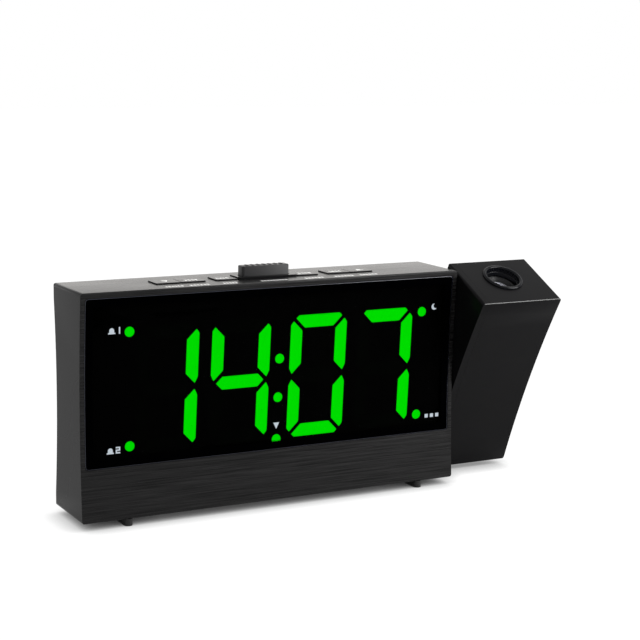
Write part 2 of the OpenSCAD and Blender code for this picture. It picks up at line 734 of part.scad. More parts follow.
module snooze_collar() color(shell_c) body_place() difference() {
  union() {
    translate([0, key_y, top_z]) linear_extrude(collar_t) rounded(collar_w, collar_d, 0.5);
    translate([0, key_y, in_top]) linear_extrude(wall + tiny)
      square([snooze_w + 2*(slide_gap + collar_lip - seat_gap),
              snooze_d + 2*(slide_gap + collar_lip - seat_gap)], center = true);
  }
  translate([0, key_y, in_top - 1]) linear_extrude(wall + collar_t + 2)
    square([snooze_w + 2*slide_gap, snooze_d + 2*slide_gap], center = true);
}

// Small screws of the display frame, the main board and the key board
module inner_screws() color(steel_c) body_place() {
  for (x = [-1, 1]) translate([x*ear_x, flange_y, ear_z]) rotate([-90, 0, 0]) small_screw(3);
  for (x = stay_x, z = stay_z) translate([x, main_back, z]) rotate([-90, 0, 0]) small_screw();
  for (x = [-1, 1]) translate([x*key_post_x, key_y, key_board_z]) rotate([180, 0, 0]) small_screw();
}

// ---- speaker and power --------------------------------------------------

module spk(y) translate([-spk_x, y, spk_z]) rotate([90, 0, 0]) children();
module speaker_basket() color([0.3, 0.3, 0.31]) body_place() spk(spk_seat) difference() {
  union() {
    cylinder(r = spk_r - 0.4, h = spk_flange);
    translate([0, 0, spk_flange - tiny]) cylinder(r1 = spk_r - 2, r2 = magnet_r + 0.5, h = spk_deep);
  }
  translate([0, 0, -tiny]) cylinder(r1 = basket_r(0), r2 = basket_r(basket_in), h = basket_in);
  translate([0, 0, 1]) cylinder(r = 5, h = spk_flange + spk_deep);
}
module speaker_cone() color([0.12, 0.12, 0.12]) body_place() spk(spk_seat - cone_at[0]) difference() {
  deep = cone_at[1] - cone_at[0];
  cylinder(r1 = basket_r(cone_at[0]) - 0.4, r2 = basket_r(cone_at[1]) - 0.4, h = deep);
  translate([0, 0, -tiny])
    cylinder(r1 = basket_r(cone_at[0]) - 1.1, r2 = basket_r(cone_at[1]) - 1.1, h = deep - 0.5);
}
module speaker_magnet() color([0.25, 0.25, 0.26]) body_place() spk(spk_seat - spk_flange - spk_deep + tiny)
  union() {
    cylinder(r = magnet_r, h = magnet_t);
    translate([0, 0, -spk_cap]) cylinder(r = 4.2, h = spk_cap + tiny);
  }

module power_jack() color([0.06, 0.06, 0.06]) body_place() difference() {
  box([jack_x - jack_w/2, main_back, low_z + jack_z - jack_h/2],
      [jack_x + jack_w/2, jack_end, low_z + jack_z + jack_h/2]);
  bar_y(jack_r, jack_end - jack_bore, jack_end + 1, jack_x, low_z + jack_z);
}
module power_pin() color(steel_c) body_place()
  bar_y(jack_pin_r, jack_end - jack_bore, jack_end - 0.8, jack_x, low_z + jack_z);

// ---- backup cell --------------------------------------------------------

module coin_cell() color([0.75, 0.75, 0.74]) body_place() translate([-cell_x, cell_y, cell_z])
  cylinder(r = cell_r, h = cell_t);
module cell_holder() color([0.07, 0.07, 0.07]) body_place() difference() {
  box([-cell_x - cell_r - 2, cell_y - cell_r - 1.4, in_low],
      [-cell_x + cell_r + 2, cell_y + cell_r + 1.4, holder_top]);
  translate([-cell_x, cell_y, low_z])
    cylinder(r = holder_r, h = cell_z + cell_t + contact_t - low_z);
}
module cell_contact() color([0.8, 0.65, 0.3]) body_place()
  translate([-cell_x - cell_r + 0.5, cell_y - 2, cell_z + cell_t])
    cube([2*cell_r - 1, 4, contact_t]);
module cell_door() color(shell_c) body_place() difference() {
  door_way(0, door_y[0], door_y[1], low_z + door_t);
  for (i = [0:3]) box([-cell_x - 7, back_y - 4.5 - 1.6*i, low_z - 1],
                      [-cell_x + 7, back_y - 3.7 - 1.6*i, low_z + 0.4]);
}

// ---- pivot --------------------------------------------------------------

module pivot_bush() color([0.75, 0.74, 0.7]) body_place() difference() {
  union() {
    bar_x(bush_r, bush_in, end_x + tiny, -pivot_y, pivot_h);
    bar_x(bush_lip_r, end_x, end_x + bush_lip_t, -pivot_y, pivot_h);
  }
  bar_x(tube_r + run_gap, bush_in - 1, end_x + 2, -pivot_y, pivot_h);
}
module friction_washer() color(steel_c) body_place() difference() {
  bar_x(clip_r, bush_in - washer_t, bush_in, -pivot_y, pivot_h);
  bar_x(tube_r + run_gap, bush_in - 2, bush_in + 1, -pivot_y, pivot_h);
}
module retaining_clip() color(steel_c) body_place() difference() {
  bar_x(clip_r, clip_x, clip_x + clip_t, -pivot_y, pivot_h);
  bar_x(tube_r - groove + seat_gap, clip_x - 1, clip_x + 2, -pivot_y, pivot_h);
}
tube_end = end_x + head_gap + lid_t;
module pivot_tube() color([0.6, 0.6, 0.62]) body_place() difference() {
  union() {
    bar_x(tube_r, tube_in, tube_end + tiny, -pivot_y, pivot_h);
    bar_x(tube_lip_r, tube_end, tube_end + tube_lip_t, -pivot_y, pivot_h);
  }
  bar_x(wire_r, clip_x - 3, tube_end + 5, -pivot_y, pivot_h);
  difference() {
    bar_x(tube_r + 1, clip_x - 0.05, clip_x + clip_t + 0.05, -pivot_y, pivot_h);
    bar_x(tube_r - groove, clip_x - 1, clip_x + 3, -pivot_y, pivot_h);
  }
}

// ---- head ---------------------------------------------------------------

// Everything before the hollow front of the head, moved inwards by a wall
module head_before(inward)
  translate([-head_w, -half_d - sqrt(pow(hollow_r, 2) - pow(half_l, 2)), 0]) rotate([0, 90, 0])
    cylinder(r = hollow_r + inward, h = 2*head_w, $fn = 480);

module head_block() difference() {
  intersection() {
    translate([0, -head_r, -half_l]) linear_extrude(head_h)
      rounded(head_w, head_d + 2*head_r, head_r);
    along_y(-half_d, half_d) rounded(head_w, head_h, corner_r);
    along_x(-head_w/2, head_w/2) rounded(head_d, head_h, head_r);
  }
  head_before(0);
}

// Posts of the side cover: three take screws, the upper front one takes a peg
lid_post = [for (p = [[1, -1], [1, 1], [-1, -1], [-1, 1]]) [p[0]*(cav_y - 1.8), p[1]*(cav_z - 1.8)]];
shelf_holes = [for (y = [-4, 4]) [cav_x[1] - 2.2, beam_y + y]];

module head_case() color(head_c) head_place() difference() {
  union() {
    difference() {
      intersection() {
        head_block();
        box([lid_x, -half_d, -half_l], [head_w/2, half_d, half_l]);
      }
      difference() {
        box([cav_x[0] - 1, -cav_y, -cav_z], [cav_x[1], cav_y, cav_z]);
        head_before(head_wall);
      }
    }
    for (p = lid_post) bar_x(2.2, lid_x, lid_x + 4.5, p[0], p[1]);
    box([shelf_x, beam_y - 6.5, optics_low - shelf_t], [cav_x[1] + tiny, beam_y + 6.5, optics_low]);
  }
  for (p = lid_post) bar_x(m2_r + seat_gap, lid_x - 1, lid_x + 4, p[0], p[1]);
  beam(cav_z - 1) cylinder(r = ring_neck + run_gap, h = head_wall + 2);
  for (p = shelf_holes) translate([p[0], p[1], optics_low - 3.6]) cylinder(r = m2_r + seat_gap, h = 4);
}

module head_cover() color(head_c) head_place() difference() {
  union() {
    intersection() {
      head_block();
      box([-head_w/2, -half_d, -half_l], [lid_x, half_d, half_l]);
    }
    bar_x(m2_r, lid_x - tiny, lid_x + 3.4, lid_post[3][0], lid_post[3][1]);
  }
  for (i = [0:2]) {
    bar_x(m2_r + seat_gap, -head_w, lid_x + 1, lid_post[i][0], lid_post[i][1]);
    bar_x(m2_head_r + seat_gap, -head_w, lid_x - 1.4, lid_post[i][0], lid_post[i][1]);
  }
  bar_x(tube_r + seat_gap, -head_w, lid_x + 1, 0, 0);
}

module head_screws() color(steel_c) head_place() {
  for (i = [0:2]) translate([lid_x - 1.4, lid_post[i][0], lid_post[i][1]]) rotate([0, -90, 0])
    small_screw(4.8);
  for (p = shelf_holes) translate([p[0], p[1], optics_low + optics_flange]) small_screw(5);
}

// ---- optics -------------------------------------------------------------

notches = 36;
module focus_ring() color([0.14, 0.14, 0.145]) head_place() beam() difference() {
  union() {
    rotate_extrude() translate([0, half_l]) {
      w = ring_r - lens_cell_r - 0.35;
      square_h = ring_rise - w/2;
      translate([ring_r - w, 0]) square([w, max(square_h, tiny)]);
      translate([ring_r - w/2, max(square_h, tiny)]) intersection() {
        circle(w/2);
        translate([-w, 0]) square([2*w, w]);
      }
    }
    translate([0, 0, half_l - ring_deep]) cylinder(r = ring_neck, h = ring_deep + tiny);
    translate([0, 0, cav_z - 1.1]) cylinder(r = ring_lip, h = 1);
  }
  translate([0, 0, half_l - ring_step]) cylinder(r = ring_neck - 0.9, h = 5);
  translate([0, 0, half_l - ring_deep - 1]) cylinder(r = lens_cell_r + run_gap, h = 12);
  for (i = [0:notches - 1]) rotate(i*360/notches)
    translate([ring_neck - 0.9, 0, half_l - ring_step]) cylinder(r = 0.2, h = 1.2, $fn = 16);
}

module lens_cell() color([0.08, 0.08, 0.085]) head_place() beam(half_l - cell_depth) difference() {
  translate([0, 0, -cell_len]) cylinder(r = lens_cell_r, h = cell_len);
  translate([0, 0, lens_z - lens_t - half_l + cell_depth])
    cylinder(r = lens_r + seat_gap, h = cell_len);
  translate([0, 0, -cell_len - 1]) cylinder(r = lens_r - 0.5, h = cell_len + 2);
}

module projection_lens() color([0.75, 0.8, 0.85, 0.5]) head_place() beam() intersection() {
  translate([0, 0, lens_z - lens_t]) cylinder(r = lens_r, h = lens_t + lens_bulge);
  translate([0, 0, lens_z + lens_bulge - lens_curve]) sphere(lens_curve, $fn = 96);
}

module optics_tube() color([0.12, 0.12, 0.12]) head_place() difference() {
  union() {
    beam(optics_low) cylinder(r = optics_r, h = optics_l);
    box([-optics_r - 1.6, beam_y - 6.5, optics_low],
        [cav_x[1] - 0.1, beam_y + 6.5, optics_low + optics_flange]);
  }
  beam(optics_low - 1) cylinder(r = lens_cell_r + slide_gap, h = optics_l + 2);
  beam(slide_z) cube(slide_size + [0.1, 0.1, 0.1], center = true);
  for (p = shelf_holes) translate([p[0], p[1], optics_low - 1]) cylinder(r = m2_r + seat_gap, h = 4);
}

module display_slide() color([0.3, 0.35, 0.45]) head_place() beam(slide_z)
  cube(slide_size, center = true);

cond_curve = 9;
module condenser_lens() color([0.75, 0.8, 0.85, 0.5]) head_place() beam() intersection() {
  translate([0, 0, slide_z - 8]) cylinder(r = lens_cell_r, h = 5);
  translate([0, 0, slide_z - 3 - cond_curve]) sphere(cond_curve, $fn = 64);
}

module lamp_board() color(board_c) head_place()
  box([-optics_r - 1.6, beam_y - 6.5, optics_low - board_t], [shelf_x - 0.2, beam_y + 6.5, optics_low]);

module projector_lamp() color([0.3, 0.45, 0.9]) head_place() beam(optics_low) {
  cylinder(r = lamp_r + 0.5, h = 1);
  cylinder(r = lamp_r, h = 4);
  translate([0, 0, 4]) sphere(lamp_r);
}

front_housing();
rear_cover();
display_window();
display_frame();
digit_hour_tens();
digit_hour_units();
digit_minute_tens();
digit_minute_units();
segments_unlit();
dots_lit();
marks_lit();
display_board();
display_chips();
main_board();
board_chips();
capacitors();
board_header();
key_board();
key_switches();
key_1();
key_2();
key_3();
key_4();
key_5();
key_6();
snooze_collar();
snooze_button();
speaker_basket();
speaker_cone();
speaker_magnet();
power_jack();
power_pin();
coin_cell();
cell_holder();
cell_contact();
cell_door();
foot_left();
foot_right();
housing_screws();
inner_screws();
pivot_bush();
friction_washer();
retaining_clip();
pivot_tube();
head_case();
head_cover();
focus_ring();
lens_cell();
projection_lens();
optics_tube();
display_slide();
condenser_lens();
projector_lamp();
lamp_board();
head_screws();
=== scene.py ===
import json
import math
import bmesh
import bpy
import numpy as np
from mathutils import Matrix, Vector


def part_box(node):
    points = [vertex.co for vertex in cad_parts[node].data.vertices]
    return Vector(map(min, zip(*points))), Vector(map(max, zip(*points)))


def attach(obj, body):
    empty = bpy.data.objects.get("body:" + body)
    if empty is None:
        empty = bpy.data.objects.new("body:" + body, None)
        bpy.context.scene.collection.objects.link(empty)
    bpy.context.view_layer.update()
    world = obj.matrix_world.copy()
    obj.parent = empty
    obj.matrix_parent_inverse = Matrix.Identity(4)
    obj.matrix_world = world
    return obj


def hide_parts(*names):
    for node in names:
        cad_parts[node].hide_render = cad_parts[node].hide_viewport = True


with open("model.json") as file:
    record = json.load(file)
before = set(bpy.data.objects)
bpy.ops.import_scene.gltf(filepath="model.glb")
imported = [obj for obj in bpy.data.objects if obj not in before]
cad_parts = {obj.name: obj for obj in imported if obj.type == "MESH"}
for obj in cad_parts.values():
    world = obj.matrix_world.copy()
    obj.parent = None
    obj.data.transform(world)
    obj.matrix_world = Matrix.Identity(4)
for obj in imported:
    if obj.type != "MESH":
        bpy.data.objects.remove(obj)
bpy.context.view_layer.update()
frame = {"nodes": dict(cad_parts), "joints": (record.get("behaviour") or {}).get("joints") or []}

scene = bpy.context.scene
mm = 0.001
joints = {joint["name"]: joint for joint in frame["joints"]}


def boxOf(node):
    # a node's lowest and highest corners at rest, in millimetres
    low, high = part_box(node)
    return np.array(low) / mm, np.array(high) / mm


bodyLow, bodyHigh = boxOf("front_housing")
topZ = bodyHigh[2]
frontY = bodyLow[1]
bodyMid = (bodyLow + bodyHigh) / 2

# the projector's optics: the line they lie on, how far it leans, and where it meets the head's top
headHeight = 79.8
opticsAxis = np.array(joints["focus_turn"]["axis"])
opticsPoint = np.array(joints["focus_turn"]["pos_m"]) / mm
opticsTop = opticsPoint + opticsAxis * headHeight / 2
tilt = math.atan2(-opticsAxis[1], opticsAxis[2])


def dress(piece, materials, body, node=None, smoothAngle=35):
    # a piece gets its finish, smooth faces between sharp edges, its body and what it stands for
    for material in materials if isinstance(materials, list) else [materials]:
        piece.data.materials.append(material)
    piece.data.shade_smooth()
    piece.data.set_sharp_from_angle(angle=math.radians(smoothAngle))
    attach(piece, body)
    if node:
        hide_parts(node)
    return piece


def addPiece(name, points, faces, material, body, node=None, smoothAngle=35):
    # a new piece from points in millimetres
    mesh = bpy.data.meshes.new(name)
    mesh.from_pydata((np.asarray(points, float) * mm).tolist(), [], faces)
    piece = bpy.data.objects.new(name, mesh)
    scene.collection.objects.link(piece)
    return dress(piece, material, body, node, smoothAngle)


def gridFaces(rows, columns, closedRows=False):
    # quads between neighbouring points of a grid that is numbered row by row; each row is closed
    i, j = np.meshgrid(np.arange(rows if closedRows else rows - 1), np.arange(columns),
                       indexing="ij")
    i2, j2 = (i + 1) % rows, (j + 1) % columns
    quads = np.stack([i * columns + j, i * columns + j2, i2 * columns + j2, i2 * columns + j], -1)
    return quads.reshape(-1, 4).tolist()


def roundedLoop(width, height, radius, steps=6):
    # a rectangle whose corners are quarter circles, as points in order
    turn = np.linspace(0, math.pi / 2, steps)
    corners = []
    for k, (sx, sy) in enumerate([(1, 1), (-1, 1), (-1, -1), (1, -1)]):
        angle = turn + k * math.pi / 2
        corners.append(np.stack([sx * (width / 2 - radius) + radius * np.cos(angle),
                                 sy * (height / 2 - radius) + radius * np.sin(angle)], -1))
    return np.concatenate(corners)


def stacked(loops, heights):
    # loops of equal length, each lifted to its own height
    return np.stack([np.column_stack([loop, np.full(len(loop), h)])
                     for loop, h in zip(loops, heights)])


def capped(rings):
    # closed rings joined into a tube, with a flat face at both ends
    rows, columns = rings.shape[:2]
    faces = gridFaces(rows, columns)
    faces.append(list(range(columns))[::-1])
    faces.append([(rows - 1) * columns + k for k in range(columns)])
    return rings.reshape(-1, 3), faces


def softBlock(width, depth, low, high, corner, edge, crown=0.0, steps=4):
    # a block whose upper edge is a quarter circle and whose top swells by crown in a cosine
    leastCorner, crownRings, crownReach = 0.05, 6, 0.96
    arc = np.linspace(0, math.pi / 2, steps + 1)
    inset = np.concatenate([[0], edge * (1 - np.cos(arc))])
    heights = np.concatenate([[low], high - edge + edge * np.sin(arc)])
    loops = [roundedLoop(width - 2 * d, depth - 2 * d, max(corner - d, leastCorner))
             for d in inset]
    last = loops[-1]
    for s in np.linspace(0, crownReach, crownRings + 1)[1:] if crown else []:
        loops.append(last * (1 - s))
        heights = np.append(heights, high + crown * (1 - math.cos(s * math.pi)) / 2)
    return capped(stacked(loops, heights))


def lathe(profile, count, wave=None):
    # a profile of radius and height turned about Z; wave(angle) adds to the radius of each row
    profile = np.asarray(profile, float)
    angle = np.arange(count) * 2 * math.pi / count
    radius = np.repeat(profile[:, :1], count, 1)
    if wave is not None:
        radius = radius + wave(angle)
    height = np.repeat(profile[:, 1:], count, 1)
    return np.stack([radius * np.cos(angle), radius * np.sin(angle), height], -1)


def joined(parts):
    # several meshes of points and faces as one
    points, faces, first = [], [], 0
    for partPoints, partFaces in parts:
        points.append(partPoints)
        faces += [[k + first for k in face] for face in partFaces]
        first += len(partPoints)
    return np.concatenate(points), faces


def toOptics(points):
    # from the optics' own frame, with Z along their line and 0 at the head's top, to the clock's
    turn = np.array(Matrix.Rotation(tilt, 3, "X"))
    return points @ turn.T + opticsTop


def makeMaterial(name, color, roughness, **sockets):
    # a plain finish; the other sockets are named with _ for each space
    material = bpy.data.materials.new(name)
    material.use_nodes = True
    shader = material.node_tree.nodes["Principled BSDF"]
    shader.inputs["Base Color"].default_value = (*color, 1)
    shader.inputs["Roughness"].default_value = roughness
    for socket, value in sockets.items():
        shader.inputs[socket.replace("_", " ")].default_value = value
    return material


def addNode(tree, kind, inputs=None, **settings):
    # a node whose inputs are either linked to a socket or set to a value
    made = tree.nodes.new("ShaderNode" + kind)
    for key, value in settings.items():
        setattr(made, key, value)
    for key, value in (inputs or {}).items():
        if isinstance(value, bpy.types.NodeSocket):
            tree.links.new(value, made.inputs[key])
        else:
            made.inputs[key].default_value = value
    return made


def mathNode(tree, operation, a, b=0.0):
    return addNode(tree, "Math", {0: a, 1: b}, operation=operation).outputs[0]


def layered(material, layers, mask):
    # noise layers, each with its grain size in mm along X, Y and Z and how far it changes
    # the colour, the roughness and the height; the changes are summed about the plain finish,
    # and a masked layer keeps to where the mask is 1
    tree = material.node_tree
    shader = tree.nodes["Principled BSDF"]
    place = addNode(tree, "TexCoord").outputs["Object"]
    color = tuple(shader.inputs["Base Color"].default_value)
    shade = height = rough = None
    for layer in layers:
        scale = [1 / (size * mm) for size in layer["grain"]]
        spot = addNode(tree, "Mapping", {"Vector": place, "Scale": scale}).outputs[0]
        value = addNode(tree, "TexNoise", {"Vector": spot, "Scale": 1.0,
                                           "Detail": layer.get("detail", 2.0)}).outputs["Fac"]
        value = mathNode(tree, "SUBTRACT", value, 0.5)
        if layer.get("masked"):
            value = mathNode(tree, "MULTIPLY", value, mask(tree))
        parts = [mathNode(tree, "MULTIPLY", value, layer.get(key, 0.0) * gain)
                 for key, gain in (("shade", 2.0), ("rough", 2.0), ("height", mm))]
        if shade is None:
            shade, rough, height = parts
        else:
            shade, rough, height = [mathNode(tree, "ADD", old, new)
                                    for old, new in zip((shade, rough, height), parts)]
    factor = mathNode(tree, "ADD", shade, 1.0)
    tinted = addNode(tree, "VectorMath", {0: color[:3], "Scale": factor}, operation="SCALE")
    tree.links.new(tinted.outputs[0], shader.inputs["Base Color"])
    base = shader.inputs["Roughness"].default_value
    tree.links.new(mathNode(tree, "ADD", rough, base), shader.inputs["Roughness"])
    bump = addNode(tree, "Bump", {"Height": height, "Strength": 1.0, "Distance": 1.0})
    tree.links.new(bump.outputs[0], shader.inputs["Normal"])
    return material


def alongAxis(tree, axisNumber):
    # how far the surface's own normal points along one axis, either way
    normal = addNode(tree, "NewGeometry").outputs["Normal"]
    part = addNode(tree, "SeparateXYZ", {0: normal}).outputs[axisNumber]
    return mathNode(tree, "ABSOLUTE", part)


# how far a face's normal has to point along a direction to count as facing it
faceLimits = {"level": 0.8, "end": 0.5, "edge": 0.93}


def levelFaces(tree):
    # 1 on the faces that look up or down, 0 on the others
    return mathNode(tree, "GREATER_THAN", alongAxis(tree, 2), faceLimits["level"])


def brushedFaces(tree):
    # 1 on the front, the top and the back, 0 on the ends, which aren't brushed
    return mathNode(tree, "LESS_THAN", alongAxis(tree, 0), faceLimits["end"])


def highlightedTopEdge(tree):
    # the small round between the head's top and its front, in the head's own directions, where a
    # highlight is painted
    normal = addNode(tree, "TexCoord").outputs["Normal"]
    lean = tilt + math.pi / 4
    along = addNode(tree, "VectorMath", {0: normal, 1: (0, -math.sin(lean), math.cos(lean))},
                    operation="DOT_PRODUCT").outputs["Value"]
    return mathNode(tree, "GREATER_THAN", along, faceLimits["edge"])


def tint(material, mask, color):
    # a second colour where the mask is 1, over what the finish already has
    tree = material.node_tree
    target = tree.nodes["Principled BSDF"].inputs["Base Color"]
    mix = addNode(tree, "Mix", {"Factor": mask(tree), "A": target.links[0].from_socket,
                                "B": (*color, 1)}, data_type="RGBA")
    tree.links.new(mix.outputs["Result"], target)


def drive(material, socket, mask, low, high):
    # one value of the finish where the mask is 0 and another where it is 1
    tree = material.node_tree
    value = addNode(tree, "MapRange", {"Value": mask(tree), "To Min": low, "To Max": high})
    tree.links.new(value.outputs[0], tree.nodes["Principled BSDF"].inputs[socket])


# each finish: colour, roughness, gloss where it isn't the shader's own, and noise layers
finishLooks = {
    "shellFinish": {
        "color": (0.0066, 0.0064, 0.0065), "roughness": 0.27, "Specular_IOR_Level": 0.13,
        "layers": [{"grain": (20, 0.32, 0.32), "detail": 3, "shade": 2.4, "rough": 0.05,
                    "height": 0.002, "masked": True},
                   {"grain": (60, 0.9, 0.9), "shade": 0.5, "rough": 0.05, "masked": True},
                   {"grain": (0.22, 0.22, 0.22), "shade": 0.1, "height": 0.004},
                   {"grain": (45, 45, 45), "shade": 0.12, "rough": 0.04}]},
    "plainShellFinish": {
        "color": (0.0105, 0.0103, 0.0104), "roughness": 0.4, "Specular_IOR_Level": 0.16,
        "layers": [{"grain": (0.25, 0.25, 0.25), "shade": 0.12, "height": 0.006},
                   {"grain": (30, 30, 30), "shade": 0.12, "rough": 0.05}]},
    "headFinish": {
        "color": (0.0028, 0.0027, 0.003), "roughness": 0.32, "Specular_IOR_Level": 0.052,
        "layers": [{"grain": (0.2, 0.2, 0.2), "shade": 0.15, "height": 0.004},
                   {"grain": (24, 24, 24), "shade": 0.15, "rough": 0.05}]},
    "keyFinish": {
        "color": (0.008, 0.008, 0.0084), "roughness": 0.26, "Specular_IOR_Level": 0.14,
        "layers": [{"grain": (0.2, 0.2, 0.2), "shade": 0.12, "height": 0.004},
                   {"grain": (6, 6, 6), "shade": 0.1, "rough": 0.05}]},
    "blockFinish": {
        "color": (0.011, 0.0107, 0.0114), "roughness": 0.36, "Specular_IOR_Level": 0.25,
        "layers": [{"grain": (0.22, 0.22, 0.22), "shade": 0.12, "height": 0.006},
                   {"grain": (8, 8, 8), "shade": 0.1, "rough": 0.05}]},
    "footFinish": {
        "color": (0.009, 0.009, 0.009), "roughness": 0.5, "Specular_IOR_Level": 0.25,
        "layers": [{"grain": (0.3, 0.3, 0.3), "shade": 0.2, "height": 0.008}]},
    "ringFinish": {
        "color": (0.0018, 0.002, 0.003), "roughness": 0.15, "Specular_IOR_Level": 0.11,
        "layers": [{"grain": (0.3, 0.3, 0.3), "shade": 0.15, "height": 0.002},
                   {"grain": (5, 5, 5), "shade": 0.1, "rough": 0.05}]},
    "barrelFinish": {
        "color": (0.006, 0.006, 0.0065), "roughness": 0.38, "Specular_IOR_Level": 0.35,
        "layers": [{"grain": (0.3, 0.3, 0.3), "shade": 0.15, "height": 0.002}]},
    "windowFinish": {
        "color": (0.0002, 0.0002, 0.0003), "roughness": 0.03, "Specular_IOR_Level": 0.0,
        "Alpha": 0.1, "layers": [{"grain": (40, 40, 40), "rough": 0.01}]},
    # the window's rim: a light bluish colour painted as the highlight of its polished edge
    "windowEdgeHighlight": {
        "color": (0.02, 0.022, 0.034), "roughness": 0.2, "Specular_IOR_Level": 0.5,
        "layers": [{"grain": (6, 6, 6), "shade": 0.25, "rough": 0.05}]},
    "reflectorFinish": {
        "color": (0.0006, 0.0006, 0.0006), "roughness": 0.8, "Specular_IOR_Level": 0.0,
        "layers": [{"grain": (3, 3, 3), "shade": 0.1}]},
    "darkResin": {
        "color": (0.0007, 0.0009, 0.0007), "roughness": 0.8, "Specular_IOR_Level": 0.0,
        "layers": [{"grain": (2, 2, 2), "shade": 0.1}]},
    "magnetFinish": {
        "color": (0.03, 0.03, 0.032), "roughness": 0.6,
        "layers": [{"grain": (0.5, 0.5, 0.5), "shade": 0.3, "height": 0.01}]},
    "coneFinish": {
        "color": (0.012, 0.012, 0.012), "roughness": 0.9,
        "layers": [{"grain": (0.3, 0.3, 0.3), "shade": 0.3, "height": 0.02}]},
    "mouldedFinish": {
        "color": (0.012, 0.012, 0.012), "roughness": 0.45,
        "layers": [{"grain": (0.3, 0.3, 0.3), "shade": 0.2, "height": 0.005}]},
    "bushFinish": {
        "color": (0.05, 0.05, 0.052), "roughness": 0.4,
        "layers": [{"grain": (0.4, 0.4, 0.4), "shade": 0.1, "height": 0.003}]},
    "chipFinish": {
        "color": (0.7, 0.66, 0.42), "roughness": 0.3,
        "layers": [{"grain": (0.4, 0.4, 0.4), "shade": 0.2}]},
    "sleeveFinish": {
        "color": (0.05, 0.06, 0.14), "roughness": 0.3,
        "layers": [{"grain": (1, 1, 1), "shade": 0.2}]},
    "lensFinish": {
        "color": (0.75, 0.76, 0.85), "roughness": 0.03, "Transmission_Weight": 0.25, "IOR": 1.7,
        "layers": [{"grain": (8, 8, 8), "rough": 0.01}]},
    "slideFinish": {
        "color": (0.05, 0.06, 0.1), "roughness": 0.15,
        "layers": [{"grain": (2, 2, 2), "shade": 0.3}]},
    "lampFinish": {
        "color": (0.1, 0.16, 0.4), "roughness": 0.1, "Transmission_Weight": 0.5,
        "layers": [{"grain": (2, 2, 2), "shade": 0.1}]},
    "printFinish": {
        "color": (0.9, 0.9, 0.88), "roughness": 0.4, "Specular_IOR_Level": 0.4,
        "layers": [{"grain": (0.3, 0.3, 0.3), "shade": 0.1}]}}

# metals: colour, roughness and the grain of their scratches in mm
metalLooks = {
    "steelFinish": {"color": (0.5, 0.5, 0.52), "roughness": 0.32, "grain": (0.4, 0.4, 0.4)},
    "cellFinish": {"color": (0.62, 0.62, 0.61), "roughness": 0.25, "grain": (1.5, 0.1, 1.5)},
    "brassFinish": {"color": (0.62, 0.45, 0.18), "roughness": 0.3, "grain": (1.5, 0.2, 1.5)},
    "tubeFinish": {"color": (0.6, 0.6, 0.62), "roughness": 0.3, "grain": (0.1, 1.5, 1.5)},
    "pressedFinish": {"color": (0.2, 0.2, 0.21), "roughness": 0.4, "grain": (0.8, 0.8, 0.8)}}
for name, look in metalLooks.items():
    finishLooks[name] = {"color": look["color"], "roughness": look["roughness"], "Metallic": 1.0,
                         "layers": [{"grain": look["grain"], "shade": 0.12, "rough": 0.08,
                                     "height": 0.002}]}

# what differs on some faces: the gloss of the body's ends and of the keys' sides, and the painted
# highlight, a light colour along the edge at the top of the head
partLooks = {"endGloss": 0.035, "keySideGloss": 0.01, "headEdgeHighlight": (0.13, 0.13, 0.128)}

finishes = {}
for name, look in finishLooks.items():
    plain = {key: value for key, value in look.items() if key != "layers"}
    finishes[name] = layered(makeMaterial(name, **plain), look["layers"], brushedFaces)
drive(finishes["shellFinish"], "Specular IOR Level", brushedFaces, partLooks["endGloss"],
      finishLooks["shellFinish"]["Specular_IOR_Level"])
drive(finishes["keyFinish"], "Specular IOR Level", levelFaces, partLooks["keySideGloss"],
      finishLooks["keyFinish"]["Specular_IOR_Level"])
# a painted highlight: a light colour on the round between the head's top and its front
tint(finishes["headFinish"], highlightedTopEdge, partLooks["headEdgeHighlight"])


litLook = {"digits": (0.0, 0.71, 0.0), "digitsUneven": 0.04, "marks": (0.54, 0.6, 0.66),
           "marksUneven": 0.05, "unlit": 0.1, "roughness": 0.5, "scale": 260.0}


def litMaterial(name, color, unevenness):
    # resin lit from behind, a little brighter in some places than in others
    unlitColor = tuple(litLook["unlit"] * c for c in color)
    material = makeMaterial(name, unlitColor, litLook["roughness"], Specular_IOR_Level=0.0)
    tree = material.node_tree
    shader = tree.nodes["Principled BSDF"]
    shader.inputs["Emission Color"].default_value = (*color, 1)
    place = addNode(tree, "TexCoord").outputs["Object"]
    noise = addNode(tree, "TexNoise", {"Vector": place, "Scale": litLook["scale"],
                                       "Detail": 1.0}).outputs["Fac"]
    change = mathNode(tree, "MULTIPLY", mathNode(tree, "SUBTRACT", noise, 0.5), unevenness)
    tree.links.new(mathNode(tree, "ADD", change, 1.0), shader.inputs["Emission Strength"])
    return material


boardLook = {"color": (0.015, 0.09, 0.045), "roughness": 0.3, "gloss": 0.5, "padBright": 2.4,
             "scale": 420.0, "scatter": 0.7, "padSize": 0.22, "bump": 0.4, "rise": 0.00003}


def boardMaterial(name):
    # solder mask over copper pads, one in the middle of each square cell
    b = boardLook
    material = makeMaterial(name, b["color"], b["roughness"], Specular_IOR_Level=b["gloss"])
    tree = material.node_tree
    shader = tree.nodes["Principled BSDF"]
    place = addNode(tree, "TexCoord").outputs["Object"]
    cells = addNode(tree, "TexVoronoi", {"Vector": place, "Scale": b["scale"],
                                         "Randomness": b["scatter"]},
                    distance="MANHATTAN", feature="F1")
    pad = mathNode(tree, "LESS_THAN", cells.outputs["Distance"], b["padSize"])
    padColor = [min(b["padBright"] * c, 1) for c in b["color"]]
    mix = addNode(tree, "Mix", {"Factor": pad, "A": (*b["color"], 1), "B": (*padColor, 1)},
                  data_type="RGBA")
    tree.links.new(mix.outputs["Result"], shader.inputs["Base Color"])
    bump = addNode(tree, "Bump", {"Height": pad, "Strength": b["bump"], "Distance": b["rise"]})
    tree.links.new(bump.outputs[0], shader.inputs["Normal"])
    return material


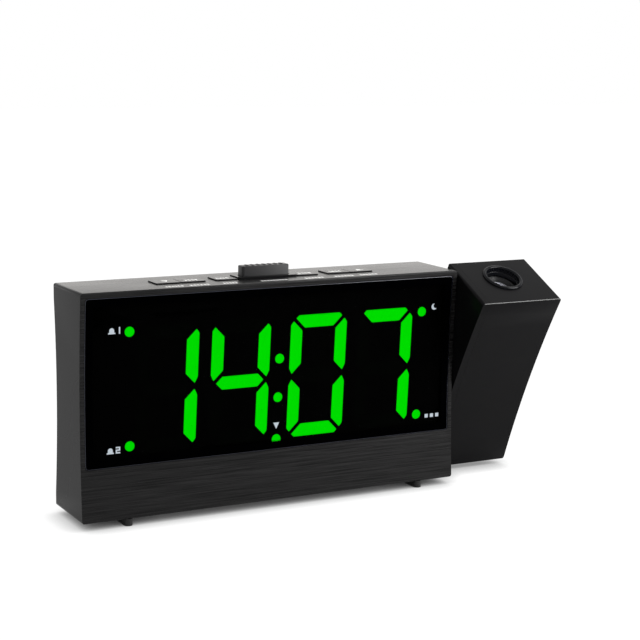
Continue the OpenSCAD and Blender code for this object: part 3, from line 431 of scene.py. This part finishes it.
finishes["litResin"] = litMaterial("litResin", litLook["digits"], litLook["digitsUneven"])
finishes["litMark"] = litMaterial("litMark", litLook["marks"], litLook["marksUneven"])
finishes["boardFinish"] = boardMaterial("boardFinish")
print("materials made")


# CAD nodes that stay as they are, with their finishes
nodeFinish = {
    "display_frame": "reflectorFinish", "segments_unlit": "darkResin", "marks_lit": "litMark",
    "display_board": "boardFinish", "display_chips": "chipFinish", "main_board": "boardFinish",
    "board_chips": "mouldedFinish", "capacitors": "sleeveFinish",
    "board_header": "mouldedFinish", "key_board": "boardFinish",
    "key_switches": "mouldedFinish", "speaker_basket": "pressedFinish",
    "speaker_cone": "coneFinish", "speaker_magnet": "magnetFinish",
    "power_jack": "mouldedFinish", "power_pin": "steelFinish", "coin_cell": "cellFinish",
    "cell_holder": "mouldedFinish", "cell_contact": "brassFinish",
    "inner_screws": "steelFinish", "pivot_bush": "bushFinish", "friction_washer": "steelFinish",
    "retaining_clip": "steelFinish", "pivot_tube": "tubeFinish", "optics_tube": "barrelFinish",
    "display_slide": "slideFinish", "condenser_lens": "lensFinish",
    "projector_lamp": "lampFinish", "lamp_board": "boardFinish", "head_screws": "steelFinish",
    "housing_screws": "steelFinish"}
for node, finish in nodeFinish.items():
    mesh = frame["nodes"][node].data
    mesh.materials.clear()
    mesh.materials.append(finishes[finish])
print("frame dressed")


# the shells: the node that each copies, and the width in mm and the steps of the round that it
# gets along every edge sharper than "sharp" degrees
shellShapes = {
    "frontShell": {"node": "front_housing", "round": 0.22, "steps": 3, "finish": "shellFinish",
                   "body": "body"},
    "rearShell": {"node": "rear_cover", "round": 0.25, "steps": 2,
                  "finish": "plainShellFinish", "body": "body"},
    "cellDoorShell": {"node": "cell_door", "round": 0.2, "steps": 2,
                      "finish": "plainShellFinish", "body": "door"},
    "leftFoot": {"node": "foot_left", "round": 0.35, "steps": 3, "finish": "footFinish",
                 "body": "body"},
    "rightFoot": {"node": "foot_right", "round": 0.35, "steps": 3, "finish": "footFinish",
                  "body": "body"},
    "headShell": {"node": "head_case", "round": 0.2, "steps": 3, "finish": "headFinish",
                  "body": "head"},
    "headSideCover": {"node": "head_cover", "round": 0.2, "steps": 2, "finish": "headFinish",
                      "body": "head"}}
shellWeld = {"distance": 2e-6, "flat": 0.6, "sharp": 40}


def roundedCopy(name, shape):
    # the node's own shape welded into flat faces, with a small round along its sharp edges
    mesh = frame["nodes"][shape["node"]].data.copy()
    mesh.materials.clear()
    mesh.name = name
    solid = bmesh.new()
    solid.from_mesh(mesh)
    bmesh.ops.remove_doubles(solid, verts=solid.verts, dist=shellWeld["distance"])
    bmesh.ops.dissolve_limit(solid, angle_limit=math.radians(shellWeld["flat"]),
                             verts=solid.verts, edges=solid.edges)
    solid.to_mesh(mesh)
    solid.free()
    piece = bpy.data.objects.new(name, mesh)
    scene.collection.objects.link(piece)
    dress(piece, finishes[shape["finish"]], shape["body"], shape["node"], shellWeld["sharp"])
    bevel = piece.modifiers.new("edges", "BEVEL")
    bevel.width = shape["round"] * mm
    bevel.segments = shape["steps"]
    bevel.limit_method = "ANGLE"
    bevel.angle_limit = math.radians(shellWeld["sharp"])
    bevel.harden_normals = True
    bevel.use_clamp_overlap = True


for name, shape in shellShapes.items():
    roundedCopy(name, shape)
print("shells made")


windowShape = {"corner": 1.2, "edge": 0.18, "steps": 3, "rows": 24, "hollow": 480.0,
               "border": 3.0}


def blackBorder(material, node, border):
    # the sheet is clear in the middle and printed black along its rim
    low, high = boxOf(node)
    tree = material.node_tree
    shader = tree.nodes["Principled BSDF"]
    place = addNode(tree, "TexCoord").outputs["Object"]
    axes = addNode(tree, "SeparateXYZ", {0: place}).outputs
    black = shader.inputs["Alpha"].default_value
    for axis in (0, 2):
        middle, half = (low[axis] + high[axis]) / 2, (high[axis] - low[axis]) / 2 - border
        away = mathNode(tree, "ABSOLUTE", mathNode(tree, "SUBTRACT", axes[axis], middle * mm))
        black = mathNode(tree, "MAXIMUM", mathNode(tree, "GREATER_THAN", away, half * mm), black)
    tree.links.new(black, shader.inputs["Alpha"])


def ladder(width, height, corner, rows, steps=6):
    # a rounded rectangle as half widths at falling heights, so that it can be filled in rungs
    arc = np.linspace(0, math.pi / 2, steps)
    high = height / 2 - corner * (1 - np.cos(arc))
    wide = width / 2 - corner * (1 - np.sin(arc))
    middle = np.linspace(high[-1], -high[-1], rows)[1:-1]
    return (np.concatenate([wide, np.full(len(middle), width / 2), wide[::-1]]),
            np.concatenate([high, middle, -high[::-1]]))


def makeWindow():
    # a rounded rectangle bent back by the front's circle, with a quarter circle along its edge
    w = windowShape
    low, high = boxOf("display_window")
    width, height = high[0] - low[0], high[2] - low[2]
    middle = (low + high) / 2
    halfBody = (bodyHigh[2] - bodyLow[2]) / 2

    def frontAt(z):
        # the front follows the hollow curve of the shell
        return frontY - math.sqrt(w["hollow"] ** 2 - halfBody ** 2) \
            + np.sqrt(w["hollow"] ** 2 - (z - bodyMid[2]) ** 2)

    arc = np.linspace(0, math.pi / 2, w["steps"] + 1)
    rings = []
    for inset, sink in zip(w["edge"] * (1 - np.cos(arc)), w["edge"] * (1 - np.sin(arc))):
        half, z = ladder(width - 2 * inset, height - 2 * inset, w["corner"] - inset, w["rows"])
        x = np.concatenate([half, -half[::-1]]) + middle[0]
        z = np.concatenate([z, z[::-1]]) + middle[2]
        if not rings:
            rings.append(np.column_stack([x, np.full(len(x), high[1]), z]))
        rings.append(np.column_stack([x, frontAt(z) + sink, z]))
    rings = np.stack(rings)
    rows, columns = rings.shape[:2]
    faces = gridFaces(rows, columns)
    sides = len(faces)
    last = (rows - 1) * columns
    faces += [(last + i, last + i + 1, last + columns - 2 - i, last + columns - 1 - i)
              for i in range(columns // 2 - 1)]
    faces.append(list(range(columns))[::-1])
    piece = addPiece("windowSheet", rings.reshape(-1, 3), faces,
                     [finishes["windowFinish"], finishes["windowEdgeHighlight"]], "body",
                     "display_window", smoothAngle=50)
    # the sides and the rounded rim take the painted edge highlight, the front and back the dark
    # sheet
    slots = np.zeros(len(faces), int)
    slots[:sides] = 1
    piece.data.polygons.foreach_set("material_index", slots)


blackBorder(finishes["windowFinish"], "display_window", windowShape["border"])
makeWindow()
print("window made")


# "waist", "bevel", "lowBevel" and "end" are multiples of the gap or of the cut; the dots are
# measured from the middle of the figures
digitShape = {"height": 45.5, "width": 23.35, "bar": 4.75, "gap": 1.0, "cut": 1.1,
              "waist": 2.3, "bevel": 2.3, "lowBevel": 3, "end": 2.2, "slant": 2.2,
              "pitch": 28.45, "colonPitch": 31.55, "shift": 1.4, "drop": 3.95, "round": 0.45,
              "ease": 0.05, "easeScale": 0.996, "dot": 1.78, "dotSides": 40, "colonGap": 14.4,
              "dots": [(-58.4, 21.35), (-58.5, -19.6), (60.9, 20.65), (59.5, -19.3),
                       (-0.8, -22.9)]}


def barOutlines():
    # the right, top and middle bars of a seven-bar figure, with 45 degree mitres
    d = digitShape
    w, h = d["width"] / 2, d["height"] / 2
    t, g, c = d["bar"], d["gap"], d["cut"]
    waist = d["waist"] * g
    side = [[w - c, h - g - c], [w, h - g - d["bevel"] * c],
            [w, t / 2 + waist - t + d["lowBevel"] * c], [w - c, waist - t / 2 + c],
            [w - t, t / 2 + waist], [w - t, h - t - g]]
    tip = w - g - c
    top = [[-tip, h - c], [c - tip, h], [tip - c, h], [tip, h - c],
           [w - t - g, h - t], [t + g - w, h - t]]
    end = w - d["end"] * g
    middle = [[-end, 0], [t / 2 - end, t / 2], [end - t / 2, t / 2],
              [end, 0], [end - t / 2, -t / 2], [t / 2 - end, -t / 2]]
    side, top, middle = map(np.array, (side, top, middle))
    flips = {"a": (top, 1, 1), "b": (side, 1, 1), "c": (side, 1, -1), "d": (top, 1, -1),
             "e": (side, -1, -1), "f": (side, -1, 1), "g": (middle, 1, 1)}
    lean = math.tan(math.radians(d["slant"]))
    outlines = {}
    for key, (points, sx, sz) in flips.items():
        p = points * [sx, sz]
        if sx * sz < 0:
            p = p[::-1]
        outlines[key] = np.column_stack([p[:, 0] + p[:, 1] * lean, p[:, 1]])
    return outlines


def softCorners(outline, radius, steps=5):
    # each corner becomes a curve from one side to the next, bent towards the corner point
    before, after = np.roll(outline, 1, 0) - outline, np.roll(outline, -1, 0) - outline
    before /= np.linalg.norm(before, axis=1)[:, None]
    after /= np.linalg.norm(after, axis=1)[:, None]
    t = np.linspace(0, 1, steps)[None, :, None]
    start, end = (outline + before * radius)[:, None], (outline + after * radius)[:, None]
    curve = (1 - t) ** 2 * start + 2 * t * (1 - t) * outline[:, None] + t ** 2 * end
    return curve.reshape(-1, 2)


def prism(outline, depthLow, depthHigh, x, z):
    # an outline in X and Z carried from one depth to another, its front edge a little eased
    centre = outline.mean(0)
    eased = centre + (outline - centre) * digitShape["easeScale"]
    loops = [outline, outline, eased]
    depths = [depthHigh, depthLow + digitShape["ease"], depthLow]
    rings = np.stack([np.column_stack([loop[:, 0] + x, np.full(len(loop), d), loop[:, 1] + z])
                      for loop, d in zip(loops, depths)])
    points, faces = capped(rings)
    return points, [face[::-1] for face in faces]


def makeDigits():
    # four figures of lit bars on both sides of the colon, and the round dots
    d = digitShape
    outlines = {key: softCorners(points, d["round"]) for key, points in barOutlines().items()}
    windowLow, windowHigh = boxOf("display_window")
    middleX = bodyMid[0] + d["shift"]
    middleZ = (windowLow[2] + windowHigh[2]) / 2 - d["drop"]
    near, pitch = d["colonPitch"] / 2, d["pitch"]
    figures = [("digitHourTens", "digit_hour_tens", "bc", -near - pitch),
               ("digitHourUnits", "digit_hour_units", "bcfg", -near),
               ("digitMinuteTens", "digit_minute_tens", "abcdef", near),
               ("digitMinuteUnits", "digit_minute_units", "abc", near + pitch)]
    for name, node, bars, x in figures:
        low, high = boxOf(node)
        parts = [prism(outlines[bar], low[1], high[1], middleX + x, middleZ) for bar in bars]
        addPiece(name, *joined(parts), finishes["litResin"], "body", node)
    low, high = boxOf("dots_lit")
    angle = np.arange(d["dotSides"]) * 2 * math.pi / d["dotSides"]
    circle = np.column_stack([np.cos(angle), np.sin(angle)]) * d["dot"]
    lean = math.tan(math.radians(d["slant"]))
    half = d["colonGap"] / 2
    spots = d["dots"] + [(half * lean, half), (-half * lean, -half)]
    parts = [prism(circle, low[1], high[1], middleX + x, middleZ + z) for x, z in spots]
    addPiece("displayDots", *joined(parts), finishes["litResin"], "body", "dots_lit")


makeDigits()
print("digits made")


# "under" is the shell's thickness, and "reach" how much wider the flange is than the cap
keyShape = {"corner": 0.5, "edge": 0.07, "crown": 0.04, "lift": 0.15, "under": 2.0,
            "flange": 1.2, "reach": 2.0, "flangeCorner": 0.3, "flangeEdge": 0.1,
            "clear": 0.002, "stem": 1.7, "stemSides": 32, "stemSink": 0.3}
blockShape = {"corner": 0.9, "edge": 0.4, "crown": 0.05, "lower": 0.35, "ridges": 7,
              "ridgeWidth": 1.3, "ridgeHeight": 0.3, "ridgeSpan": 0.55, "ridgeRound": 0.28,
              "ridgeCorner": 0.6, "ridgeCrown": 0.1, "ridgeSink": 0.2, "ridgeSpace": 1.2}
collarShape = {"corner": 0.8, "edge": 0.08, "gap": 0.25, "lift": 0.3, "deep": 0.5}


def underKey(width, depth, low):
    # the flange that keeps a key in the shell, and the round stem that stands on its switch
    k = keyShape
    wallLow = topZ - k["under"]
    flange = softBlock(width, depth, wallLow - k["flange"], wallLow - k["clear"],
                       k["flangeCorner"], k["flangeEdge"])
    stem = capped(lathe([[k["stem"], low], [k["stem"], wallLow - k["flange"] + k["stemSink"]]],
                        k["stemSides"]))
    return [flange, stem]


def makeKeys():
    # caps with a rounded edge and a slightly swollen top
    k = keyShape
    for number in range(1, 7):
        node = f"key_{number}"
        low, high = boxOf(node)
        middle = (low + high) / 2
        width, depth = high[0] - low[0], high[1] - low[1] - k["reach"]
        cap = softBlock(width, depth, topZ - k["under"], high[2] + k["lift"] - k["crown"],
                        k["corner"], k["edge"], k["crown"])
        points, faces = joined([cap] + underKey(width, depth + k["reach"], low[2]))
        addPiece(f"keyCap{number}", points + [middle[0], middle[1], 0], faces,
                 finishes["keyFinish"], f"key_{number}_body", node)


def makeBlock():
    # a block like the caps, with soft ridges across its top at equal distances
    b, reach = blockShape, keyShape["reach"]
    low, high = boxOf("snooze_button")
    middle = (low + high) / 2
    width, depth = high[0] - low[0] - reach, high[1] - low[1] - reach
    blockTop = high[2] - b["lower"]
    block = softBlock(width, depth, topZ - keyShape["under"], blockTop - b["crown"],
                      b["corner"], b["edge"], b["crown"])
    parts = [block] + underKey(width + reach, depth + reach, low[2])
    for k in range(b["ridges"]):
        ridge, faces = softBlock(b["ridgeWidth"], depth * b["ridgeSpan"],
                                 blockTop - b["ridgeSink"],
                                 blockTop + b["ridgeHeight"] - b["ridgeCrown"],
                                 b["ridgeCorner"], b["ridgeRound"], b["ridgeCrown"])
        across = (k - (b["ridges"] - 1) / 2) * width / (b["ridges"] + b["ridgeSpace"])
        parts.append((ridge + [across, 0, 0], faces))
    points, faces = joined(parts)
    addPiece("snoozeBlock", points + [middle[0], middle[1], 0], faces, finishes["blockFinish"],
             "snooze", "snooze_button")


def makeCollar():
    # a plate round the snooze block, standing on the shell
    c = collarShape
    low, high = boxOf("snooze_collar")
    blockLow, blockHigh = boxOf("snooze_button")
    middle = (low + high) / 2
    width, depth = (high - low)[:2]
    holeWidth, holeDepth = (blockHigh - blockLow)[:2] - keyShape["reach"] + 2 * c["gap"]
    top, foot = high[2] + c["lift"], topZ - c["deep"]
    outer = roundedLoop(width, depth, c["corner"])
    rim = roundedLoop(width - 2 * c["edge"], depth - 2 * c["edge"], c["corner"] - c["edge"])
    inner = roundedLoop(holeWidth, holeDepth, c["corner"])
    rings = stacked([outer, outer, rim, inner, inner], [foot, top - c["edge"], top, top, foot])
    faces = gridFaces(*rings.shape[:2], closedRows=True)
    points = rings.reshape(-1, 3) + [middle[0], middle[1], 0]
    addPiece("snoozeCollar", points, faces, finishes["keyFinish"], "body", "snooze_collar")


makeKeys()
makeBlock()
makeCollar()
print("keys made")


# plain marks printed in front of the keys and on them: where each group begins and ends along X
# from the middle of its key and how many bars it has, and on the keys how far it lies back;
# an arrow has its place from the key's middle and which way it points
printShape = {"thick": 0.015, "clear": 0.002, "keyDepth": 2.2, "rowDepth": 1.8, "rowBack": 3.5,
              "space": 0.4, "arrowWide": 1.5, "arrowHigh": 1.7,
              "rows": [("key_1", -3.8, 2.9, 6), ("key_2", -4.1, 3.3, 6), ("key_3", -4.4, 0.9, 5),
                       ("snooze_collar", -5.9, 4.6, 9), ("key_4", -4.3, 3.2, 6),
                       ("key_5", -5.2, 2.6, 6), ("key_6", -4.2, 3.0, 6)],
              "caps": [("key_2", -2.5, 2.6, -1.2, 4), ("key_3", -3.4, 1.4, -1.4, 4),
                       ("key_4", -2.7, 2.6, -1.0, 4), ("key_5", -2.8, 1.9, -1.3, 4)],
              "arrows": [("key_1", 0.2, -0.2, -1), ("key_6", 0.4, -0.5, 1)]}


def flatPrint(outline, z):
    # a printed patch: an outline in X and Y just above a face
    loop = np.asarray(outline, float)
    return capped(stacked([loop, loop], [z + printShape["clear"], z + printShape["thick"]]))


def bars(x0, x1, y, depth, count, z):
    # equal bars side by side, with a space between them
    step = (x1 - x0 + printShape["space"]) / count
    width = step - printShape["space"]
    patches = []
    for k in range(count):
        left = x0 + k * step
        patches.append(flatPrint([(left, y - depth / 2), (left + width, y - depth / 2),
                                  (left + width, y + depth / 2), (left, y + depth / 2)], z))
    return patches


def printName(node, kind):
    return node.replace("_", "") + kind


def makePrints():
    # a row of bars on the shell, bars on four keys and an arrow on two
    s = printShape
    finish, lift = finishes["printFinish"], keyShape["lift"]
    patches = []
    for node, x0, x1, count in s["rows"]:
        low, high = boxOf(node)
        middle = (low[0] + high[0]) / 2
        patches += bars(middle + x0, middle + x1, frontY + s["rowBack"], s["rowDepth"], count,
                        topZ)
    addPiece("rowPrint", *joined(patches), finish, "body")
    for node, x0, x1, back, count in s["caps"]:
        low, high = boxOf(node)
        x, y = (low[0] + high[0]) / 2, (low[1] + high[1]) / 2
        patches = bars(x + x0, x + x1, y + back, s["keyDepth"], count, high[2] + lift)
        addPiece(printName(node, "Print"), *joined(patches), finish, node + "_body")
    for node, shift, back, way in s["arrows"]:
        low, high = boxOf(node)
        x, y = (low[0] + high[0]) / 2 + shift, (low[1] + high[1]) / 2 + back
        wide, deep = way * s["arrowWide"], way * s["arrowHigh"]
        patch = flatPrint([(x - wide, y - deep), (x + wide, y - deep), (x, y + deep)],
                          high[2] + lift)
        addPiece(printName(node, "Arrow"), *patch, finish, node + "_body")


makePrints()
print("marks printed")


# heights from here on are measured along the optics' line from the head's top
ringShape = {"outer": 8.0, "rise": 0.9, "bore": 6.5, "neck": 7.4, "deep": 6.0, "cellBore": 6.28,
             "step": 1.5, "chamfer": 0.12, "ease": 0.05, "tuck": 0.02, "notches": 36,
             "notch": 0.16, "notchEdge": 3, "sides": 288, "rimSteps": 15, "wallSteps": 9}
cellShape = {"outer": 6.2, "top": -3.2, "length": 9.0, "bore": 5.55, "chamfer": 0.2,
             "lip": 0.1, "threads": 4, "threadSteps": 8, "threadDepth": 0.16,
             "threadStart": 0.15, "threadEnd": 0.1, "ledge": 0.5, "sides": 128}
lensShape = {"radius": 5.5, "edgeHeight": -5.4, "thick": 2.0, "bulge": 0.8, "chamfer": 0.1,
             "ease": 0.05, "hub": 0.02, "domeSteps": 14, "sides": 96}


def makeRing():
    # a profile turned about the optics' line: a half round rim, the notched wall and the neck
    r = ringShape
    arc = np.linspace(0, math.pi, r["rimSteps"])
    middle, half = (r["outer"] + r["bore"]) / 2, (r["outer"] - r["bore"]) / 2
    rim = np.column_stack([middle + half * np.cos(arc),
                           r["rise"] - half + half * np.sin(arc)])
    wallHeights = np.linspace(-r["ease"], -r["step"] + r["chamfer"], r["wallSteps"])
    wall = np.column_stack([np.full(r["wallSteps"], r["bore"]), wallHeights])
    inner = [[r["bore"] - r["tuck"], -r["step"]], [r["cellBore"], -r["step"] - r["chamfer"]],
             [r["cellBore"], -r["deep"]]]
    outside = [[r["neck"], -r["deep"]], [r["neck"], -r["tuck"]],
               [r["outer"] - r["ease"], 0.0]]
    profile = np.concatenate([rim, wall, inner, outside])
    onWall = (np.abs(profile[:, 0] - r["bore"]) < r["tuck"] / 2) & (profile[:, 1] < 0)

    def knurl(angle):
        # shallow notches all round the inner wall, as a flattened sine
        beat = np.clip(np.sin(angle * r["notches"]) * r["notchEdge"], -1, 1)
        return np.outer(onWall, beat * r["notch"] / 2)

    rings = lathe(profile, r["sides"], knurl)
    faces = [face[::-1] for face in gridFaces(*rings.shape[:2], closedRows=True)]
    addPiece("focusRing", toOptics(rings.reshape(-1, 3)), faces, finishes["ringFinish"], "ring",
             "focus_ring", smoothAngle=40)


def makeLensCell():
    # a tube whose bore has a sawtooth of threads above the lens and a ledge below it
    c = cellShape
    step = np.linspace(0, 1, c["threads"] * c["threadSteps"] + 1)
    threadTop = c["top"] - c["threadStart"]
    threadLow = lensShape["edgeHeight"] + c["threadEnd"]
    teeth = np.abs((step * c["threads"]) % 1 - 0.5) * 2 * c["threadDepth"]
    threads = np.column_stack([c["bore"] - teeth, threadTop + (threadLow - threadTop) * step])
    bottom = c["top"] - c["length"]
    ledgeHeight = lensShape["edgeHeight"] - lensShape["thick"]
    profile = np.concatenate([
        [[c["outer"], bottom], [c["outer"], c["top"] - c["chamfer"]],
         [c["outer"] - c["chamfer"], c["top"]], [c["bore"] + c["lip"], c["top"]]], threads,
        [[c["bore"], ledgeHeight], [c["bore"] - c["ledge"], ledgeHeight],
         [c["bore"] - c["ledge"], bottom]]])
    rings = lathe(profile, c["sides"])
    faces = gridFaces(*rings.shape[:2], closedRows=True)
    addPiece("lensBarrel", toOptics(rings.reshape(-1, 3)), faces, finishes["barrelFinish"],
             "lens", "lens_cell", smoothAngle=30)


def makeLens():
    # flat below, with a dome of a sphere above that rises by bulge
    s = lensShape
    radius = (s["radius"] ** 2 + s["bulge"] ** 2) / (2 * s["bulge"])
    across = np.linspace(s["radius"] - s["ease"], s["hub"], s["domeSteps"])
    dome = s["edgeHeight"] + np.sqrt(radius ** 2 - across ** 2) - (radius - s["bulge"])
    low = s["edgeHeight"] - s["thick"] + s["hub"]
    profile = np.concatenate([[[s["hub"], low], [s["radius"] - s["chamfer"], low],
                               [s["radius"] - s["ease"], low + s["chamfer"]]],
                              np.column_stack([across, dome])])
    points, faces = capped(lathe(profile, s["sides"]))
    addPiece("projectionLens", toOptics(points), faces, finishes["lensFinish"], "lens",
             "projection_lens", smoothAngle=50)


makeRing()
makeLensCell()
makeLens()
print("optics made")


# found from the straight edges of the body, the window and the head in the photograph, in mm
# from the body's lower left front corner; "near" and "far" are the camera's clip limits in metres
cameraShape = {"lens": 92.934, "turn": -28.369, "rise": 9.792, "roll": 0.908,
               "target": (76.0, 0.0, 40.0), "across": -15.050, "up": -26.965,
               "distance": 603.25, "sensor": 36, "near": 0.01, "far": 50}


def placeCamera():
    # the camera stands back from its target along a direction turned and raised from the front
    c = cameraShape
    turn, rise, roll = (math.radians(c[key]) for key in ("turn", "rise", "roll"))
    back = Vector((math.sin(turn) * math.cos(rise), -math.cos(turn) * math.cos(rise),
                   math.sin(rise)))
    right = (-back).cross(Vector((0, 0, 1))).normalized()
    up = right.cross(-back)
    rolledRight = right * math.cos(roll) + up * math.sin(roll)
    rolledUp = up * math.cos(roll) - right * math.sin(roll)
    origin = Vector((bodyLow[0], frontY, bodyLow[2]))
    spot = origin + Vector(c["target"]) - rolledRight * c["across"] - rolledUp * c["up"] \
        + back * c["distance"]
    data = bpy.data.cameras.new("photoCamera")
    data.lens = c["lens"]
    data.sensor_width = c["sensor"]
    data.clip_start, data.clip_end = c["near"], c["far"]
    camera = bpy.data.objects.new("photoCamera", data)
    pose = Matrix((rolledRight, rolledUp, back)).transposed().to_4x4()
    pose.translation = spot * mm
    camera.matrix_world = pose
    scene.collection.objects.link(camera)
    scene.camera = camera


def seenRays(tree):
    # 1 for what the camera sees, straight or in a reflection or through glass, 0 for other light
    rays = addNode(tree, "LightPath").outputs
    seen = mathNode(tree, "ADD", rays["Is Camera Ray"], rays["Is Glossy Ray"])
    seen = mathNode(tree, "ADD", seen, rays["Is Transmission Ray"])
    return mathNode(tree, "MINIMUM", seen, 1.0)


# sizes of the floor in metres
floorLook = {"size": 6.0, "color": (0.86, 0.86, 0.86), "seenColor": (0.06, 0.06, 0.06),
             "roughness": 0.9, "gain": 1.15, "reach": 0.012, "samples": 16}


def makeFloor():
    # a square of paper that shows white, with the object's shadow where the floor is closed in
    look = floorLook
    half = look["size"] / 2
    mesh = bpy.data.meshes.new("floor")
    mesh.from_pydata([(-half, -half, 0), (half, -half, 0), (half, half, 0), (-half, half, 0)], [],
                     [(0, 1, 2, 3)])
    floor = bpy.data.objects.new("floor", mesh)
    scene.collection.objects.link(floor)
    material = makeMaterial("floorPaper", look["color"], look["roughness"],
                            Specular_IOR_Level=0.0)
    tree = material.node_tree
    shader = tree.nodes["Principled BSDF"]
    seen = seenRays(tree)
    openness = addNode(tree, "AmbientOcclusion", {"Distance": look["reach"]},
                       samples=look["samples"])
    glow = mathNode(tree, "MULTIPLY", openness.outputs["AO"], look["gain"])
    glow = mathNode(tree, "MINIMUM", glow, 1.0)
    shader.inputs["Emission Color"].default_value = (1, 1, 1, 1)
    tree.links.new(mathNode(tree, "MULTIPLY", glow, seen), shader.inputs["Emission Strength"])
    mix = addNode(tree, "Mix", {"Factor": seen, "A": (*look["color"], 1),
                                "B": (*look["seenColor"], 1)}, data_type="RGBA")
    tree.links.new(mix.outputs["Result"], shader.inputs["Base Color"])
    mesh.materials.append(material)


# lamps: place and size in metres, power in watts, colour; all point at "aim"
lightLook = {
    "world": 0.6, "seenWorld": 1.0, "aim": (0, 0, 0.04),
    "lamps": [("leftSoft", (-1.0, 0.55, 0.7), 0.7, 0.9, (1.0, 1.0, 1.0)),
              ("backSoft", (0.55, 1.15, 0.32), 0.85, 0.8, (1.0, 0.93, 0.85)),
              ("topSoft", (0.5, -0.15, 0.95), 2.4, 0.3, (1.0, 1.0, 1.0)),
              ("rightSoft", (0.22, -0.2, 0.15), 1.15, 0.2, (1.0, 1.0, 1.0))]}


def lightScene():
    # an even white world and four soft square lamps
    world = bpy.data.worlds.new("studio")
    scene.world = world
    world.use_nodes = True
    tree = world.node_tree
    background = tree.nodes["Background"]
    background.inputs["Color"].default_value = (1, 1, 1, 1)
    strength = addNode(tree, "MapRange", {"Value": seenRays(tree), "To Min": lightLook["world"],
                                          "To Max": lightLook["seenWorld"]})
    tree.links.new(strength.outputs[0], background.inputs["Strength"])
    aim = Vector(lightLook["aim"])
    for name, place, power, size, color in lightLook["lamps"]:
        data = bpy.data.lights.new(name, "AREA")
        data.energy, data.size, data.color = power, size, color
        lamp = bpy.data.objects.new(name, data)
        lamp.location = place
        lamp.rotation_euler = (aim - Vector(place)).to_track_quat("-Z", "Y").to_euler()
        scene.collection.objects.link(lamp)
    scene.view_settings.view_transform = "Standard"


placeCamera()
makeFloor()
lightScene()
print("scene lit")
